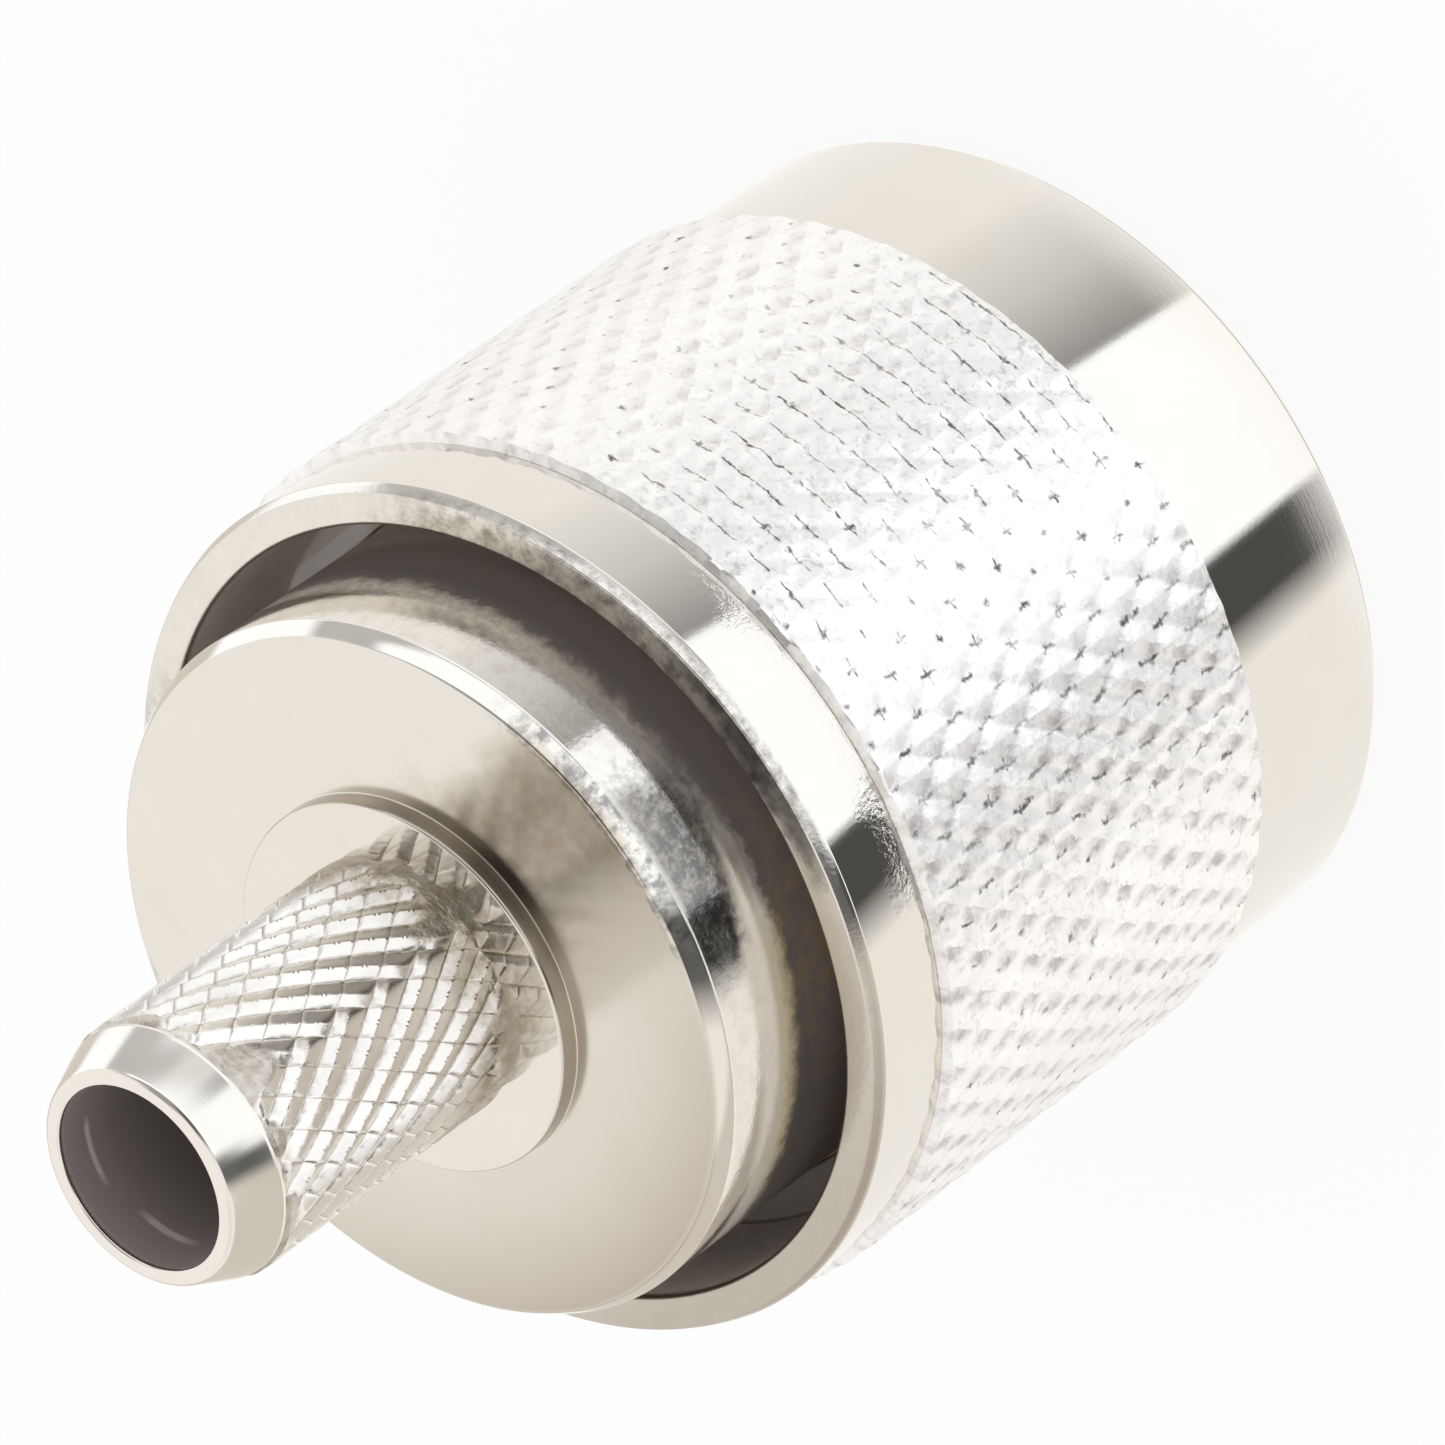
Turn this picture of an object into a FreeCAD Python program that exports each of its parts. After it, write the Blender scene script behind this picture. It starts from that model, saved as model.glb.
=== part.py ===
import FreeCAD, Part
import math
import os
import Sketcher

os.makedirs("parts", exist_ok=True)
doc = FreeCAD.newDocument("n_connector")


# Driving sizes in millimetres; heights run up from the front face of the coupling nut
SIZE_TABLE = [
    ("thread_crest_radius", 7.4, "bore over the crests of the inside thread"),
    ("thread_length", 8.8, "inside thread behind its entry bevel"),
    ("thread_runout", 0.86, "length of the bevel behind the thread"),
    ("mouth_bevel", 0.8, "entry bevel of the thread, in radius and in depth"),
    ("shank_step", 0.8, "how far the body stands out past the thread crests"),
    ("running_clearance", 0.06, "between the turning nut and the body"),
    ("recess_gap", 0.96, "open gap between the body and the rear of the nut"),
    ("rim_width", 0.89, "width of the rear rim of the nut"),
    ("rim_round", 0.25, "rounding of the outer rear edge of the nut"),
    ("rim_inner_round", 0.12, "rounding of the inner rear edge of the nut"),
    ("mouth_round", 0.15, "rounding of the outer front edge of the nut"),
    ("knurl_rise", 0.25, "tips of the nut knurl over the smooth rear band"),
    ("knurl_depth", 0.32, "height of the teeth of the nut knurl"),
    ("knurl_core_depth", 0.8, "tips of the nut knurl down to the blank under it"),
    ("knurl_teeth", 64, "teeth in each row of the nut knurl"),
    ("knurl_rows", 13, "half rows of teeth along the nut knurl"),
    ("shroud_step", 0.4, "tips of the nut knurl over the smooth front part"),
    ("shroud_length", 5.0, "smooth front part of the nut"),
    ("band_length", 2.0, "smooth rear band of the nut"),
    ("recess_depth", 3.5, "open rear recess of the nut"),
    ("lip_wall", 0.75, "inner lip of the nut behind its ring groove"),
    ("contact_recess", 1.6, "front of the outer contact behind the front of the nut"),
    ("mating_depth", 10.4, "front of the outer contact to the front of the body"),
    ("body_front_bevel", 0.2, "bevel on the front edge of the body"),
    ("disc_reach", 2.86, "flat back of the body behind the rear of the nut"),
    ("disc_round", 0.42, "rounding of the edge of the flat back"),
    ("boss_width", 1.33, "low raised boss round the stem"),
    ("boss_height", 0.47, "height of the boss above the flat back"),
    ("boss_round", 0.08, "rounding of the edge of the boss"),
    ("stem_bore_radius", 2.15, "bore of the stem that takes the cable"),
    ("stem_wall", 0.88, "wall of the stem under the tips of its knurl"),
    ("stem_length", 7.17, "knurled part of the stem"),
    ("tip_length", 1.3, "smooth taper at the end of the stem"),
    ("tip_wall", 0.35, "wall of the stem at its open end"),
    ("ring_offset", 1.2, "front of the body to the middle of the retaining ring"),
    ("ring_thickness", 0.7, "thickness of the retaining ring"),
    ("ring_side_clearance", 0.1, "on each side of the ring in the groove of the nut"),
    ("ring_bite", 0.85, "depth of the ring groove in the body"),
    ("ring_reach", 0.55, "how far the ring stands out of the body"),
    ("ring_top_clearance", 0.12, "between the ring and the groove floor in the nut"),
    ("ring_gap_angle", 16.0, "opening of the split ring in degrees"),
    ("line_bore_radius", 3.5, "inside of the outer contact"),
    ("contact_wall", 0.5, "wall of the outer contact"),
    ("bead_rise", 0.2, "contact bead of the spring fingers"),
    ("bead_length", 1.3, "front of the outer contact to the end of the bead"),
    ("contact_lead", 0.3, "lead-in bevel of the bead"),
    ("foot_step", 0.45, "foot of the outer contact over its sleeve"),
    ("foot_length", 3.0, "foot of the outer contact in the body"),
    ("slot_width", 0.35, "width of a slot between two spring fingers"),
    ("slot_depth", 6.2, "length of a slot"),
    ("slot_count", 6, "number of slots round the outer contact"),
    ("gasket_thickness", 1.2, "thickness of the sealing gasket"),
    ("gasket_clearance", 0.06, "between the gasket and the outer contact"),
    ("gasket_margin", 0.2, "thread crests over the outside of the gasket"),
    ("gasket_round", 0.15, "rounding of the front edges of the gasket"),
    ("bead_floor", 1.0, "insulator behind the foot of the outer contact"),
    ("insulator_depth", 7.4, "front of the outer contact to the front of the insulator"),
    ("dish_width", 0.98, "shallow dish in the front of the insulator"),
    ("dish_depth", 0.6, "depth of that dish"),
    ("conductor_radius", 1.52, "body of the centre contact"),
    ("shoulder_step", 0.72, "body of the centre contact over its pin"),
    ("shoulder_bevel", 0.25, "bevel on the shoulder of the pin"),
    ("pin_recess", 0.4, "front of the outer contact to the tip of the pin"),
    ("pin_length", 4.9, "tip of the pin to its shoulder"),
    ("pin_tip_round", 0.4, "rounding of the tip of the pin"),
    ("cup_recess", 0.2, "open end of the wire cup inside the insulator"),
    ("cup_wall", 0.57, "wall of the wire cup"),
    ("cup_depth", 3.2, "depth of the wire cup"),
]
sizes = doc.addObject("Spreadsheet::Sheet", "sizes")
for row, (alias, value, note) in enumerate(SIZE_TABLE, start=1):
    sizes.set("A%d" % row, note)
    sizes.set("B%d" % row, str(value))
    sizes.setAlias("B%d" % row, alias)
doc.recompute()


def plus(*terms):
    """Expression that adds terms; a leading minus takes one away."""
    text = ""
    for term in terms:
        sign = " - " if term.startswith("-") else " + "
        name = term.lstrip("-")
        text += sign + (name if name.startswith("(") else "sizes." + name)
    return "(" + text.removeprefix(" + ") + ")"


# Radii that follow from the driving sizes
THREAD_CREST = plus("thread_crest_radius")
MOUTH_RADIUS = plus(THREAD_CREST, "mouth_bevel")
DISC_RADIUS = plus(THREAD_CREST, "shank_step")
LIP_BORE = plus(DISC_RADIUS, "running_clearance")
RIM_BORE = plus(DISC_RADIUS, "recess_gap")
BAND_RADIUS = plus(RIM_BORE, "rim_width")
KNURL_TIP = plus(BAND_RADIUS, "knurl_rise")
KNURL_ROOT = plus(KNURL_TIP, "-knurl_depth")
KNURL_CORE = plus(KNURL_TIP, "-knurl_core_depth")
SHROUD_RADIUS = plus(KNURL_TIP, "-shroud_step")
RING_GROOVE = plus(DISC_RADIUS, "-ring_bite")
RING_OUTSIDE = plus(DISC_RADIUS, "ring_reach")
NUT_GROOVE = plus(RING_OUTSIDE, "ring_top_clearance")
STEM_BORE = plus("stem_bore_radius")
STEM_RADIUS = plus(STEM_BORE, "stem_wall")
STEM_TIP_RADIUS = plus(STEM_BORE, "tip_wall")
BOSS_RADIUS = plus(STEM_RADIUS, "boss_width")
LINE_BORE = plus("line_bore_radius")
CONTACT_RADIUS = plus(LINE_BORE, "contact_wall")
BEAD_RADIUS = plus(CONTACT_RADIUS, "bead_rise")
FOOT_RADIUS = plus(CONTACT_RADIUS, "foot_step")
GASKET_HOLE = plus(CONTACT_RADIUS, "gasket_clearance")
GASKET_RADIUS = plus(THREAD_CREST, "-gasket_margin")
CONDUCTOR_RADIUS = plus("conductor_radius")
PIN_RADIUS = plus(CONDUCTOR_RADIUS, "-shoulder_step")
CUP_RADIUS = plus(CONDUCTOR_RADIUS, "-cup_wall")
DISH_RADIUS = plus(CONDUCTOR_RADIUS, "dish_width")

# Heights that follow from the driving sizes
FRONT = "0"
CONTACT_FRONT = plus("contact_recess")
BODY_FRONT = plus(CONTACT_FRONT, "mating_depth")
THREAD_END = plus("mouth_bevel", "thread_length")
RING_MIDDLE = plus(BODY_FRONT, "ring_offset")
RING_FRONT = plus(RING_MIDDLE, "(-sizes.ring_thickness / 2)")
RING_BACK = plus(RING_MIDDLE, "(sizes.ring_thickness / 2)")
NUT_GROOVE_FRONT = plus(RING_FRONT, "-ring_side_clearance")
NUT_GROOVE_BACK = plus(RING_BACK, "ring_side_clearance")
LIP_BACK = plus(NUT_GROOVE_BACK, "lip_wall")
NUT_BACK = plus(LIP_BACK, "recess_depth")
KNURL_FRONT = plus("shroud_length")
KNURL_BACK = plus(NUT_BACK, "-band_length")
DISC_BACK = plus(NUT_BACK, "disc_reach")
BOSS_BACK = plus(DISC_BACK, "boss_height")
STEM_KNURL_BACK = plus(BOSS_BACK, "stem_length")
STEM_BACK = plus(STEM_KNURL_BACK, "tip_length")
FOOT_BACK = plus(BODY_FRONT, "foot_length")
BORE_FLOOR = plus(FOOT_BACK, "bead_floor")
BEAD_END = plus(CONTACT_FRONT, "bead_length")
GASKET_FRONT = plus(BODY_FRONT, "-gasket_thickness")
INSULATOR_FRONT = plus(CONTACT_FRONT, "insulator_depth")
DISH_FLOOR = plus(INSULATOR_FRONT, "dish_depth")
PIN_FRONT = plus(CONTACT_FRONT, "pin_recess")
PIN_SHOULDER = plus(PIN_FRONT, "pin_length")
CUP_END = plus(BORE_FLOOR, "-cup_recess")
CUP_FLOOR = plus(CUP_END, "-cup_depth")
ON_AXIS = "0"
EDGE_MATCH = 0.001


def number(expression):
    """Value of an expression over the sheet."""
    return float(sizes.evalExpression(expression))


def origin_part(body, role):
    """Plane or axis of a body's own origin."""
    for feature in body.Origin.OriginFeatures:
        if feature.Role == role:
            return feature
    raise ValueError("no origin feature " + role)


def new_sketch(body, name, plane):
    """Empty sketch on one of the body's origin planes."""
    sketch = body.newObject("Sketcher::SketchObject", name)
    sketch.AttachmentSupport = [(origin_part(body, plane), "")]
    sketch.MapMode = "FlatFace"
    sketch.Visibility = False
    return sketch


def add_outline(sketch, points):
    """Closed outline of straight lines, joined end to end."""
    count = len(points)
    for index in range(count):
        line = Part.LineSegment(points[index], points[(index + 1) % count])
        sketch.addGeometry(line, False)
    for index in range(count):
        following = (index + 1) % count
        sketch.addConstraint(Sketcher.Constraint("Coincident", index, 2, following, 1))


def bind(sketch, constraint, name, expression):
    """Add a named dimension and tie it to the sheet."""
    sketch.addConstraint(constraint)
    sketch.renameConstraint(sketch.ConstraintCount - 1, name)
    sketch.setExpression("Constraints." + name, expression)


def place_corner(sketch, index, kind, name, expression, axis):
    """Tie the start of one line to a sheet expression or to an axis."""
    if expression == ON_AXIS:
        sketch.addConstraint(Sketcher.Constraint("PointOnObject", index, 1, axis))
        return
    constraint = Sketcher.Constraint(kind, -1, 1, index, 1, number(expression))
    bind(sketch, constraint, name, expression)


def turned_body(name, corners):
    """Body turned round the connector axis from (radius, height) corners of its half section."""
    body = doc.addObject("PartDesign::Body", name)
    body.Label = name
    sketch = new_sketch(body, name + "_section", "XZ_Plane")
    points = [FreeCAD.Vector(number(radius), number(height), 0) for radius, height in corners]
    add_outline(sketch, points)
    for index, (radius, height) in enumerate(corners):
        place_corner(sketch, index, "DistanceX", "radius_%d" % index, radius, -2)
        place_corner(sketch, index, "DistanceY", "height_%d" % index, height, -1)
    turning = body.newObject("PartDesign::Revolution", name + "_turning")
    turning.Profile = sketch
    turning.ReferenceAxis = (sketch, ["V_Axis"])
    turning.Angle = 360.0
    doc.recompute()
    return body, turning


def ring_edges(feature, rings):
    """Names of the circular edges at the given (radius, height) places."""
    names = []
    for radius, height in rings:
        for index, edge in enumerate(feature.Shape.Edges, start=1):
            if not isinstance(edge.Curve, Part.Circle):
                continue
            same_radius = abs(edge.Curve.Radius - number(radius)) < EDGE_MATCH
            same_height = abs(edge.Curve.Center.z - number(height)) < EDGE_MATCH
            if same_radius and same_height:
                names.append("Edge%d" % index)
    return names


def round_edges(body, name, rings, size):
    """Round the circular edges found at the given places."""
    base = body.Tip
    rounding = body.newObject("PartDesign::Fillet", name)
    rounding.Base = (base, ring_edges(base, rings))
    rounding.setExpression("Radius", "sizes." + size)
    base.Visibility = False
    doc.recompute()


def knurl_ring(teeth, rows, tip, root, core, bottom, top):
    """Solid ring whose outside is a diamond knurl: tooth tips and pits alternate on a
    grid of half teeth round and half rows up, and every grid cell is two flat facets
    that meet in the groove between its two pits. The end rows stay at pit height, which
    bevels the ends."""
    columns = 2 * teeth
    step_round = 2 * math.pi / columns
    step_up = (top - bottom) / rows

    def point(column, level):
        on_tip = (column + level) % 2 == 0 and 0 < level < rows
        radius = tip if on_tip else root
        angle = column * step_round
        height = bottom + level * step_up
        return FreeCAD.Vector(radius * math.cos(angle), radius * math.sin(angle), height)

    grid = [[point(column, level) for column in range(columns)] for level in range(rows + 1)]
    edges = {}

    def edge(start, end):
        key = (min(start, end), max(start, end))
        if key not in edges:
            ends = [grid[level][column] for level, column in key]
            edges[key] = Part.LineSegment(*ends).toShape()
        return edges[key]

    def facet(a, b, c):
        return Part.Face(Part.Wire([edge(a, b), edge(b, c), edge(c, a)]))

    faces = []
    for level in range(rows):
        for column in range(columns):
            following = (column + 1) % columns
            low = (level, column)
            low_next = (level, following)
            high = (level + 1, column)
            high_next = (level + 1, following)
            if (column + level) % 2 == 0:
                faces += [facet(low, low_next, high), facet(low_next, high_next, high)]
            else:
                faces += [facet(low, low_next, high_next), facet(low, high_next, high)]
    for level in (0, rows):
        rim = [edge((level, column), (level, (column + 1) % columns)) for column in range(columns)]
        faces.append(Part.Face(Part.Wire(rim)))
    faces[-2].reverse()
    knurled_bar = Part.makeSolid(Part.makeShell(faces))
    return knurled_bar.cut(Part.makeCylinder(core, top - bottom, FreeCAD.Vector(0, 0, bottom)))


# Coupling nut: turned blank with a threaded mouth, a ring groove and an open rear recess
nut_blank, nut_turning = turned_body("coupling_nut_blank", [
    (MOUTH_RADIUS, FRONT),
    (SHROUD_RADIUS, FRONT),
    (SHROUD_RADIUS, KNURL_FRONT),
    (KNURL_CORE, KNURL_FRONT),
    (KNURL_CORE, KNURL_BACK),
    (BAND_RADIUS, KNURL_BACK),
    (BAND_RADIUS, NUT_BACK),
    (RIM_BORE, NUT_BACK),
    (RIM_BORE, LIP_BACK),
    (LIP_BORE, LIP_BACK),
    (LIP_BORE, NUT_GROOVE_BACK),
    (NUT_GROOVE, NUT_GROOVE_BACK),
    (NUT_GROOVE, NUT_GROOVE_FRONT),
    (LIP_BORE, NUT_GROOVE_FRONT),
    (LIP_BORE, plus(THREAD_END, "thread_runout")),
    (THREAD_CREST, THREAD_END),
    (THREAD_CREST, plus("mouth_bevel")),
])
round_edges(nut_blank, "coupling_nut_rim_round", [(BAND_RADIUS, NUT_BACK)], "rim_round")
round_edges(nut_blank, "coupling_nut_rim_inner_round", [(RIM_BORE, NUT_BACK)], "rim_inner_round")
round_edges(nut_blank, "coupling_nut_mouth_round", [(SHROUD_RADIUS, FRONT)], "mouth_round")

# Diamond knurl of the nut, seated on the blank and fused with it into one piece
nut_knurl = doc.addObject("Part::Feature", "coupling_nut_knurl")
nut_knurl.Shape = knurl_ring(
    teeth=int(number("sizes.knurl_teeth")),
    rows=int(number("sizes.knurl_rows")),
    tip=number(KNURL_TIP),
    root=number(KNURL_ROOT),
    core=number(KNURL_CORE),
    bottom=number(KNURL_FRONT),
    top=number(KNURL_BACK),
)
nut_knurl.Placement = FreeCAD.Placement()
nut = doc.addObject("Part::Fuse", "coupling_nut")
nut.Label = "coupling_nut"
nut.Base = nut_blank
nut.Tool = nut_knurl
doc.recompute()


# Connector body: shank, flat back, boss and crimp stem turned in one piece
connector_body, body_turning = turned_body("connector_body", [
    (FOOT_RADIUS, BODY_FRONT),
    (plus(DISC_RADIUS, "-body_front_bevel"), BODY_FRONT),
    (DISC_RADIUS, plus(BODY_FRONT, "body_front_bevel")),
    (DISC_RADIUS, RING_FRONT),
    (RING_GROOVE, RING_FRONT),
    (RING_GROOVE, RING_BACK),
    (DISC_RADIUS, RING_BACK),
    (DISC_RADIUS, DISC_BACK),
    (BOSS_RADIUS, DISC_BACK),
    (BOSS_RADIUS, BOSS_BACK),
    (STEM_RADIUS, BOSS_BACK),
    (STEM_RADIUS, STEM_KNURL_BACK),
    (STEM_TIP_RADIUS, STEM_BACK),
    (STEM_BORE, STEM_BACK),
    (STEM_BORE, BORE_FLOOR),
    (LINE_BORE, BORE_FLOOR),
    (LINE_BORE, FOOT_BACK),
    (FOOT_RADIUS, FOOT_BACK),
])
round_edges(connector_body, "connector_body_disc_round", [(DISC_RADIUS, DISC_BACK)], "disc_round")
round_edges(connector_body, "connector_body_boss_round", [(BOSS_RADIUS, BOSS_BACK)], "boss_round")


# Retaining ring: split flat ring that holds the nut on the body
ring, ring_turning = turned_body("retaining_ring", [
    (RING_GROOVE, RING_FRONT),
    (RING_OUTSIDE, RING_FRONT),
    (RING_OUTSIDE, RING_BACK),
    (RING_GROOVE, RING_BACK),
])
ring_turning.setExpression("Angle", "360 - sizes.ring_gap_angle")


# Outer contact: sleeve with a foot pressed into the body and slotted spring fingers
outer_contact, outer_turning = turned_body("outer_contact", [
    (LINE_BORE, CONTACT_FRONT),
    (plus(BEAD_RADIUS, "-contact_lead"), CONTACT_FRONT),
    (BEAD_RADIUS, plus(CONTACT_FRONT, "contact_lead")),
    (BEAD_RADIUS, plus(BEAD_END, "-contact_lead")),
    (CONTACT_RADIUS, BEAD_END),
    (CONTACT_RADIUS, BODY_FRONT),
    (FOOT_RADIUS, BODY_FRONT),
    (FOOT_RADIUS, FOOT_BACK),
    (LINE_BORE, FOOT_BACK),
])
slot_sketch = new_sketch(outer_contact, "outer_contact_slot_section", "XY_Plane")
slot_sketch.AttachmentOffset = FreeCAD.Placement(
    FreeCAD.Vector(0, 0, number(CONTACT_FRONT)),
    FreeCAD.Rotation(FreeCAD.Vector(0, 0, 1), number("180 / sizes.slot_count")),
)
slot_sketch.setExpression("AttachmentOffset.Base.z", CONTACT_FRONT)
slot_sketch.setExpression("AttachmentOffset.Rotation.Angle", "180 / sizes.slot_count")
SLOT_INSIDE = plus(LINE_BORE, "-contact_wall")
SLOT_OUTSIDE = plus(BEAD_RADIUS, "contact_wall")
slot_near = number(SLOT_INSIDE)
slot_far = number(SLOT_OUTSIDE)
slot_half = number("sizes.slot_width / 2")
add_outline(slot_sketch, [
    FreeCAD.Vector(slot_near, -slot_half, 0),
    FreeCAD.Vector(slot_far, -slot_half, 0),
    FreeCAD.Vector(slot_far, slot_half, 0),
    FreeCAD.Vector(slot_near, slot_half, 0),
])
for side, direction in enumerate(("Horizontal", "Vertical", "Horizontal")):
    slot_sketch.addConstraint(Sketcher.Constraint(direction, side))
slot_sketch.addConstraint(Sketcher.Constraint("Symmetric", 0, 1, 3, 1, -1))
bind(slot_sketch, Sketcher.Constraint("DistanceX", -1, 1, 0, 1, slot_near), "inside", SLOT_INSIDE)
bind(slot_sketch, Sketcher.Constraint("DistanceX", -1, 1, 1, 1, slot_far), "outside", SLOT_OUTSIDE)
bind(slot_sketch, Sketcher.Constraint("DistanceY", 1, 1, 1, 2, 2 * slot_half), "width",
     "sizes.slot_width")
slot_cut = outer_contact.newObject("PartDesign::Pocket", "outer_contact_slot")
slot_cut.Profile = slot_sketch
slot_cut.Reversed = True
slot_cut.setExpression("Length", "sizes.slot_depth")
doc.recompute()
slot_ring = outer_contact.newObject("PartDesign::PolarPattern", "outer_contact_slots")
slot_ring.Originals = [slot_cut]
slot_ring.Axis = (slot_sketch, ["N_Axis"])
slot_ring.Angle = 360.0
slot_ring.setExpression("Occurrences", "sizes.slot_count")
outer_contact.Tip = slot_ring
doc.recompute()


# Sealing gasket: flat ring on the front face of the body
gasket, gasket_turning = turned_body("sealing_gasket", [
    (GASKET_HOLE, GASKET_FRONT),
    (GASKET_RADIUS, GASKET_FRONT),
    (GASKET_RADIUS, BODY_FRONT),
    (GASKET_HOLE, BODY_FRONT),
])
round_edges(gasket, "sealing_gasket_round",
            [(GASKET_HOLE, GASKET_FRONT), (GASKET_RADIUS, GASKET_FRONT)], "gasket_round")


# Insulator: bead with a dished front that centres the inner conductor
insulator, insulator_turning = turned_body("insulator", [
    (DISH_RADIUS, INSULATOR_FRONT),
    (LINE_BORE, INSULATOR_FRONT),
    (LINE_BORE, BORE_FLOOR),
    (CONDUCTOR_RADIUS, BORE_FLOOR),
    (CONDUCTOR_RADIUS, DISH_FLOOR),
    (DISH_RADIUS, DISH_FLOOR),
])


# Centre contact: mating pin, thicker conductor and a cup for the wire
centre_contact, centre_turning = turned_body("centre_contact", [
    (ON_AXIS, PIN_FRONT),
    (PIN_RADIUS, PIN_FRONT),
    (PIN_RADIUS, PIN_SHOULDER),
    (plus(CONDUCTOR_RADIUS, "-shoulder_bevel"), PIN_SHOULDER),
    (CONDUCTOR_RADIUS, plus(PIN_SHOULDER, "shoulder_bevel")),
    (CONDUCTOR_RADIUS, CUP_END),
    (CUP_RADIUS, CUP_END),
    (CUP_RADIUS, CUP_FLOOR),
    (ON_AXIS, CUP_FLOOR),
])
round_edges(centre_contact, "centre_contact_tip_round", [(PIN_RADIUS, PIN_FRONT)], "pin_tip_round")
doc.recompute()


# Checks on the finished shapes
def checked(piece):
    """Shape of a piece, or a stop unless it is one valid solid."""
    shape = piece.Shape
    if shape.isNull() or not shape.isValid():
        raise RuntimeError(piece.Label + " has no valid shape")
    if len(shape.Solids) != 1:
        raise RuntimeError(piece.Label + " is not one solid")
    return shape


for item in doc.Objects:
    if "Invalid" in item.State or "Error" in item.State:
        raise RuntimeError(item.Label + " did not recompute")
slot_volume = outer_turning.Shape.Volume - slot_cut.Shape.Volume
slot_least = number("sizes.slot_width * sizes.slot_depth * sizes.contact_wall")
if slot_volume < slot_least:
    raise RuntimeError("the slot misses the outer contact")


# Files, one for each piece
PIECES = [nut, connector_body, ring, outer_contact, gasket, insulator, centre_contact]
for piece in PIECES:
    checked(piece).exportStep("parts/%s.step" % piece.Label)
    print(piece.Label, "%.2f mm3" % piece.Shape.Volume)
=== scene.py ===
import math
from types import SimpleNamespace

import bpy
import numpy as np
from mathutils import Matrix, Vector


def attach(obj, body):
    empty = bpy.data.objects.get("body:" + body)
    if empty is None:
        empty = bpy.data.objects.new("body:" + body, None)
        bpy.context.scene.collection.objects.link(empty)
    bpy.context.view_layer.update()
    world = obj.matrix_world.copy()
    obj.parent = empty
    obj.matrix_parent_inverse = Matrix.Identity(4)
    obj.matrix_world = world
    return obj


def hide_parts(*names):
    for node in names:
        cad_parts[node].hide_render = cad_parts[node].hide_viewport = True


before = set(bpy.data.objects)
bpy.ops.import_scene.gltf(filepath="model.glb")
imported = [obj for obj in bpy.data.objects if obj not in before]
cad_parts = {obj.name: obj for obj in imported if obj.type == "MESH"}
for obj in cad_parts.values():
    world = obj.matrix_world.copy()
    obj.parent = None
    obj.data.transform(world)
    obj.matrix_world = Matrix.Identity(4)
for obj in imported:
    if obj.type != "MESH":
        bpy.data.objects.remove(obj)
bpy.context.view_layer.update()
MM = 0.001
TAU = 2 * math.pi


# Camera at the photograph's view
CAMERA_PLACE = Vector((-194.336, 0.0, 174.707)) * MM
CAMERA_FORWARD = Vector((0.76244024, -0.00237797, -0.64705427))
CAMERA_RIGHT = Vector((-0.52368951, 0.58507064, -0.61922664))
CAMERA_UP = Vector((-0.38004496, -0.81097884, -0.44483608))
FOCAL_PIXELS = 11815.43
IMAGE_PIXELS = 1445
SENSOR_MM = 36.0


def add_camera():
    data = bpy.data.cameras.new("camera")
    data.sensor_fit = "HORIZONTAL"
    data.sensor_width = SENSOR_MM
    data.lens = FOCAL_PIXELS / IMAGE_PIXELS * SENSOR_MM
    data.clip_start = 0.005
    data.clip_end = 50.0
    camera = bpy.data.objects.new("camera", data)
    axes = Matrix((CAMERA_RIGHT, CAMERA_UP, -CAMERA_FORWARD)).transposed()
    camera.matrix_world = Matrix.Translation(CAMERA_PLACE) @ axes.to_4x4()
    bpy.context.scene.collection.objects.link(camera)
    bpy.context.scene.camera = camera


# Sizes of the coupling nut in millimetres; heights are over its front face
NUT_LENGTH = 17.9
FRONT_RADIUS = 9.9
BLANK_RADIUS = 9.8
BAND_RADIUS = 10.05
KNURL_FRONT = 4.6
KNURL_BACK = 15.72
KNURL_ROW = 0.8205
KNURL_FIRST_TIPS = 4.95
KNURL_TIP = 10.3
KNURL_TEETH = 64
KNURL_TURN = math.radians(2.05)
RECESS_RADIUS = 9.16
RECESS_FLOOR = 14.4
NUT_LIP_RADIUS = 8.26
NUT_GROOVE = (8.87, 12.75, 13.65)
THREAD_PITCH = 25.4 / 24
THREAD_CREST = 7.4
THREAD_ROOT = 7.94
THREAD_START = 0.24
THREAD_END = 10.2
THREAD_RUNOUT = 9.6
THREAD_WALL = 8.0
ENTRY_RADIUS = 8.2
LIP_BEVEL_END = 10.46
REAR_BEVEL_START = 17.62
REAR_RIM_RADIUS = 9.92

# Sizes of the connector body in millimetres
SHANK_RADIUS = 8.2
SHANK_FRONT = 12.0
BODY_GROOVE = (7.35, 12.85, 13.55)
SHANK_BEVEL = (8.0, 12.2)
BACK_BEVEL_START = 20.36
BACK_FACE_RADIUS = 7.97
BACK_FACE = 20.76
BOSS_RADIUS = 4.36
BOSS_TOP = 21.23
STEM_BLANK = 2.7
STEM_NECK = 27.95
CONE_START = (2.99, 28.5)
CONE_END_RADIUS = 2.5
STEM_KNURL_BACK = 28.56
STEM_END = 29.7
STEM_TIP = 3.03
STEM_TEETH = 24
STEM_ROW = 0.6518
STEM_FIRST_TIPS = 21.24
BORE_RADIUS = 2.15
BORE_FLOOR = 16.0
SOCKET_RADIUS = 4.45
SOCKET_FLOOR = 15.0
WIRE_WAY_RADIUS = 3.5

# Turns round the axis of the stem's worn stripe and of the side where its ridges change over
WORN_TURN = math.radians(192.0)
SIDE_TURN = math.radians(185.0)


# Small node helpers
def new_material(name):
    material = bpy.data.materials.new(name)
    material.use_nodes = True
    material.node_tree.nodes.clear()
    return material, material.node_tree


def add_node(tree, kind, **settings):
    node = tree.nodes.new(kind)
    for key, value in settings.items():
        setattr(node, key, value)
    return node


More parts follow.
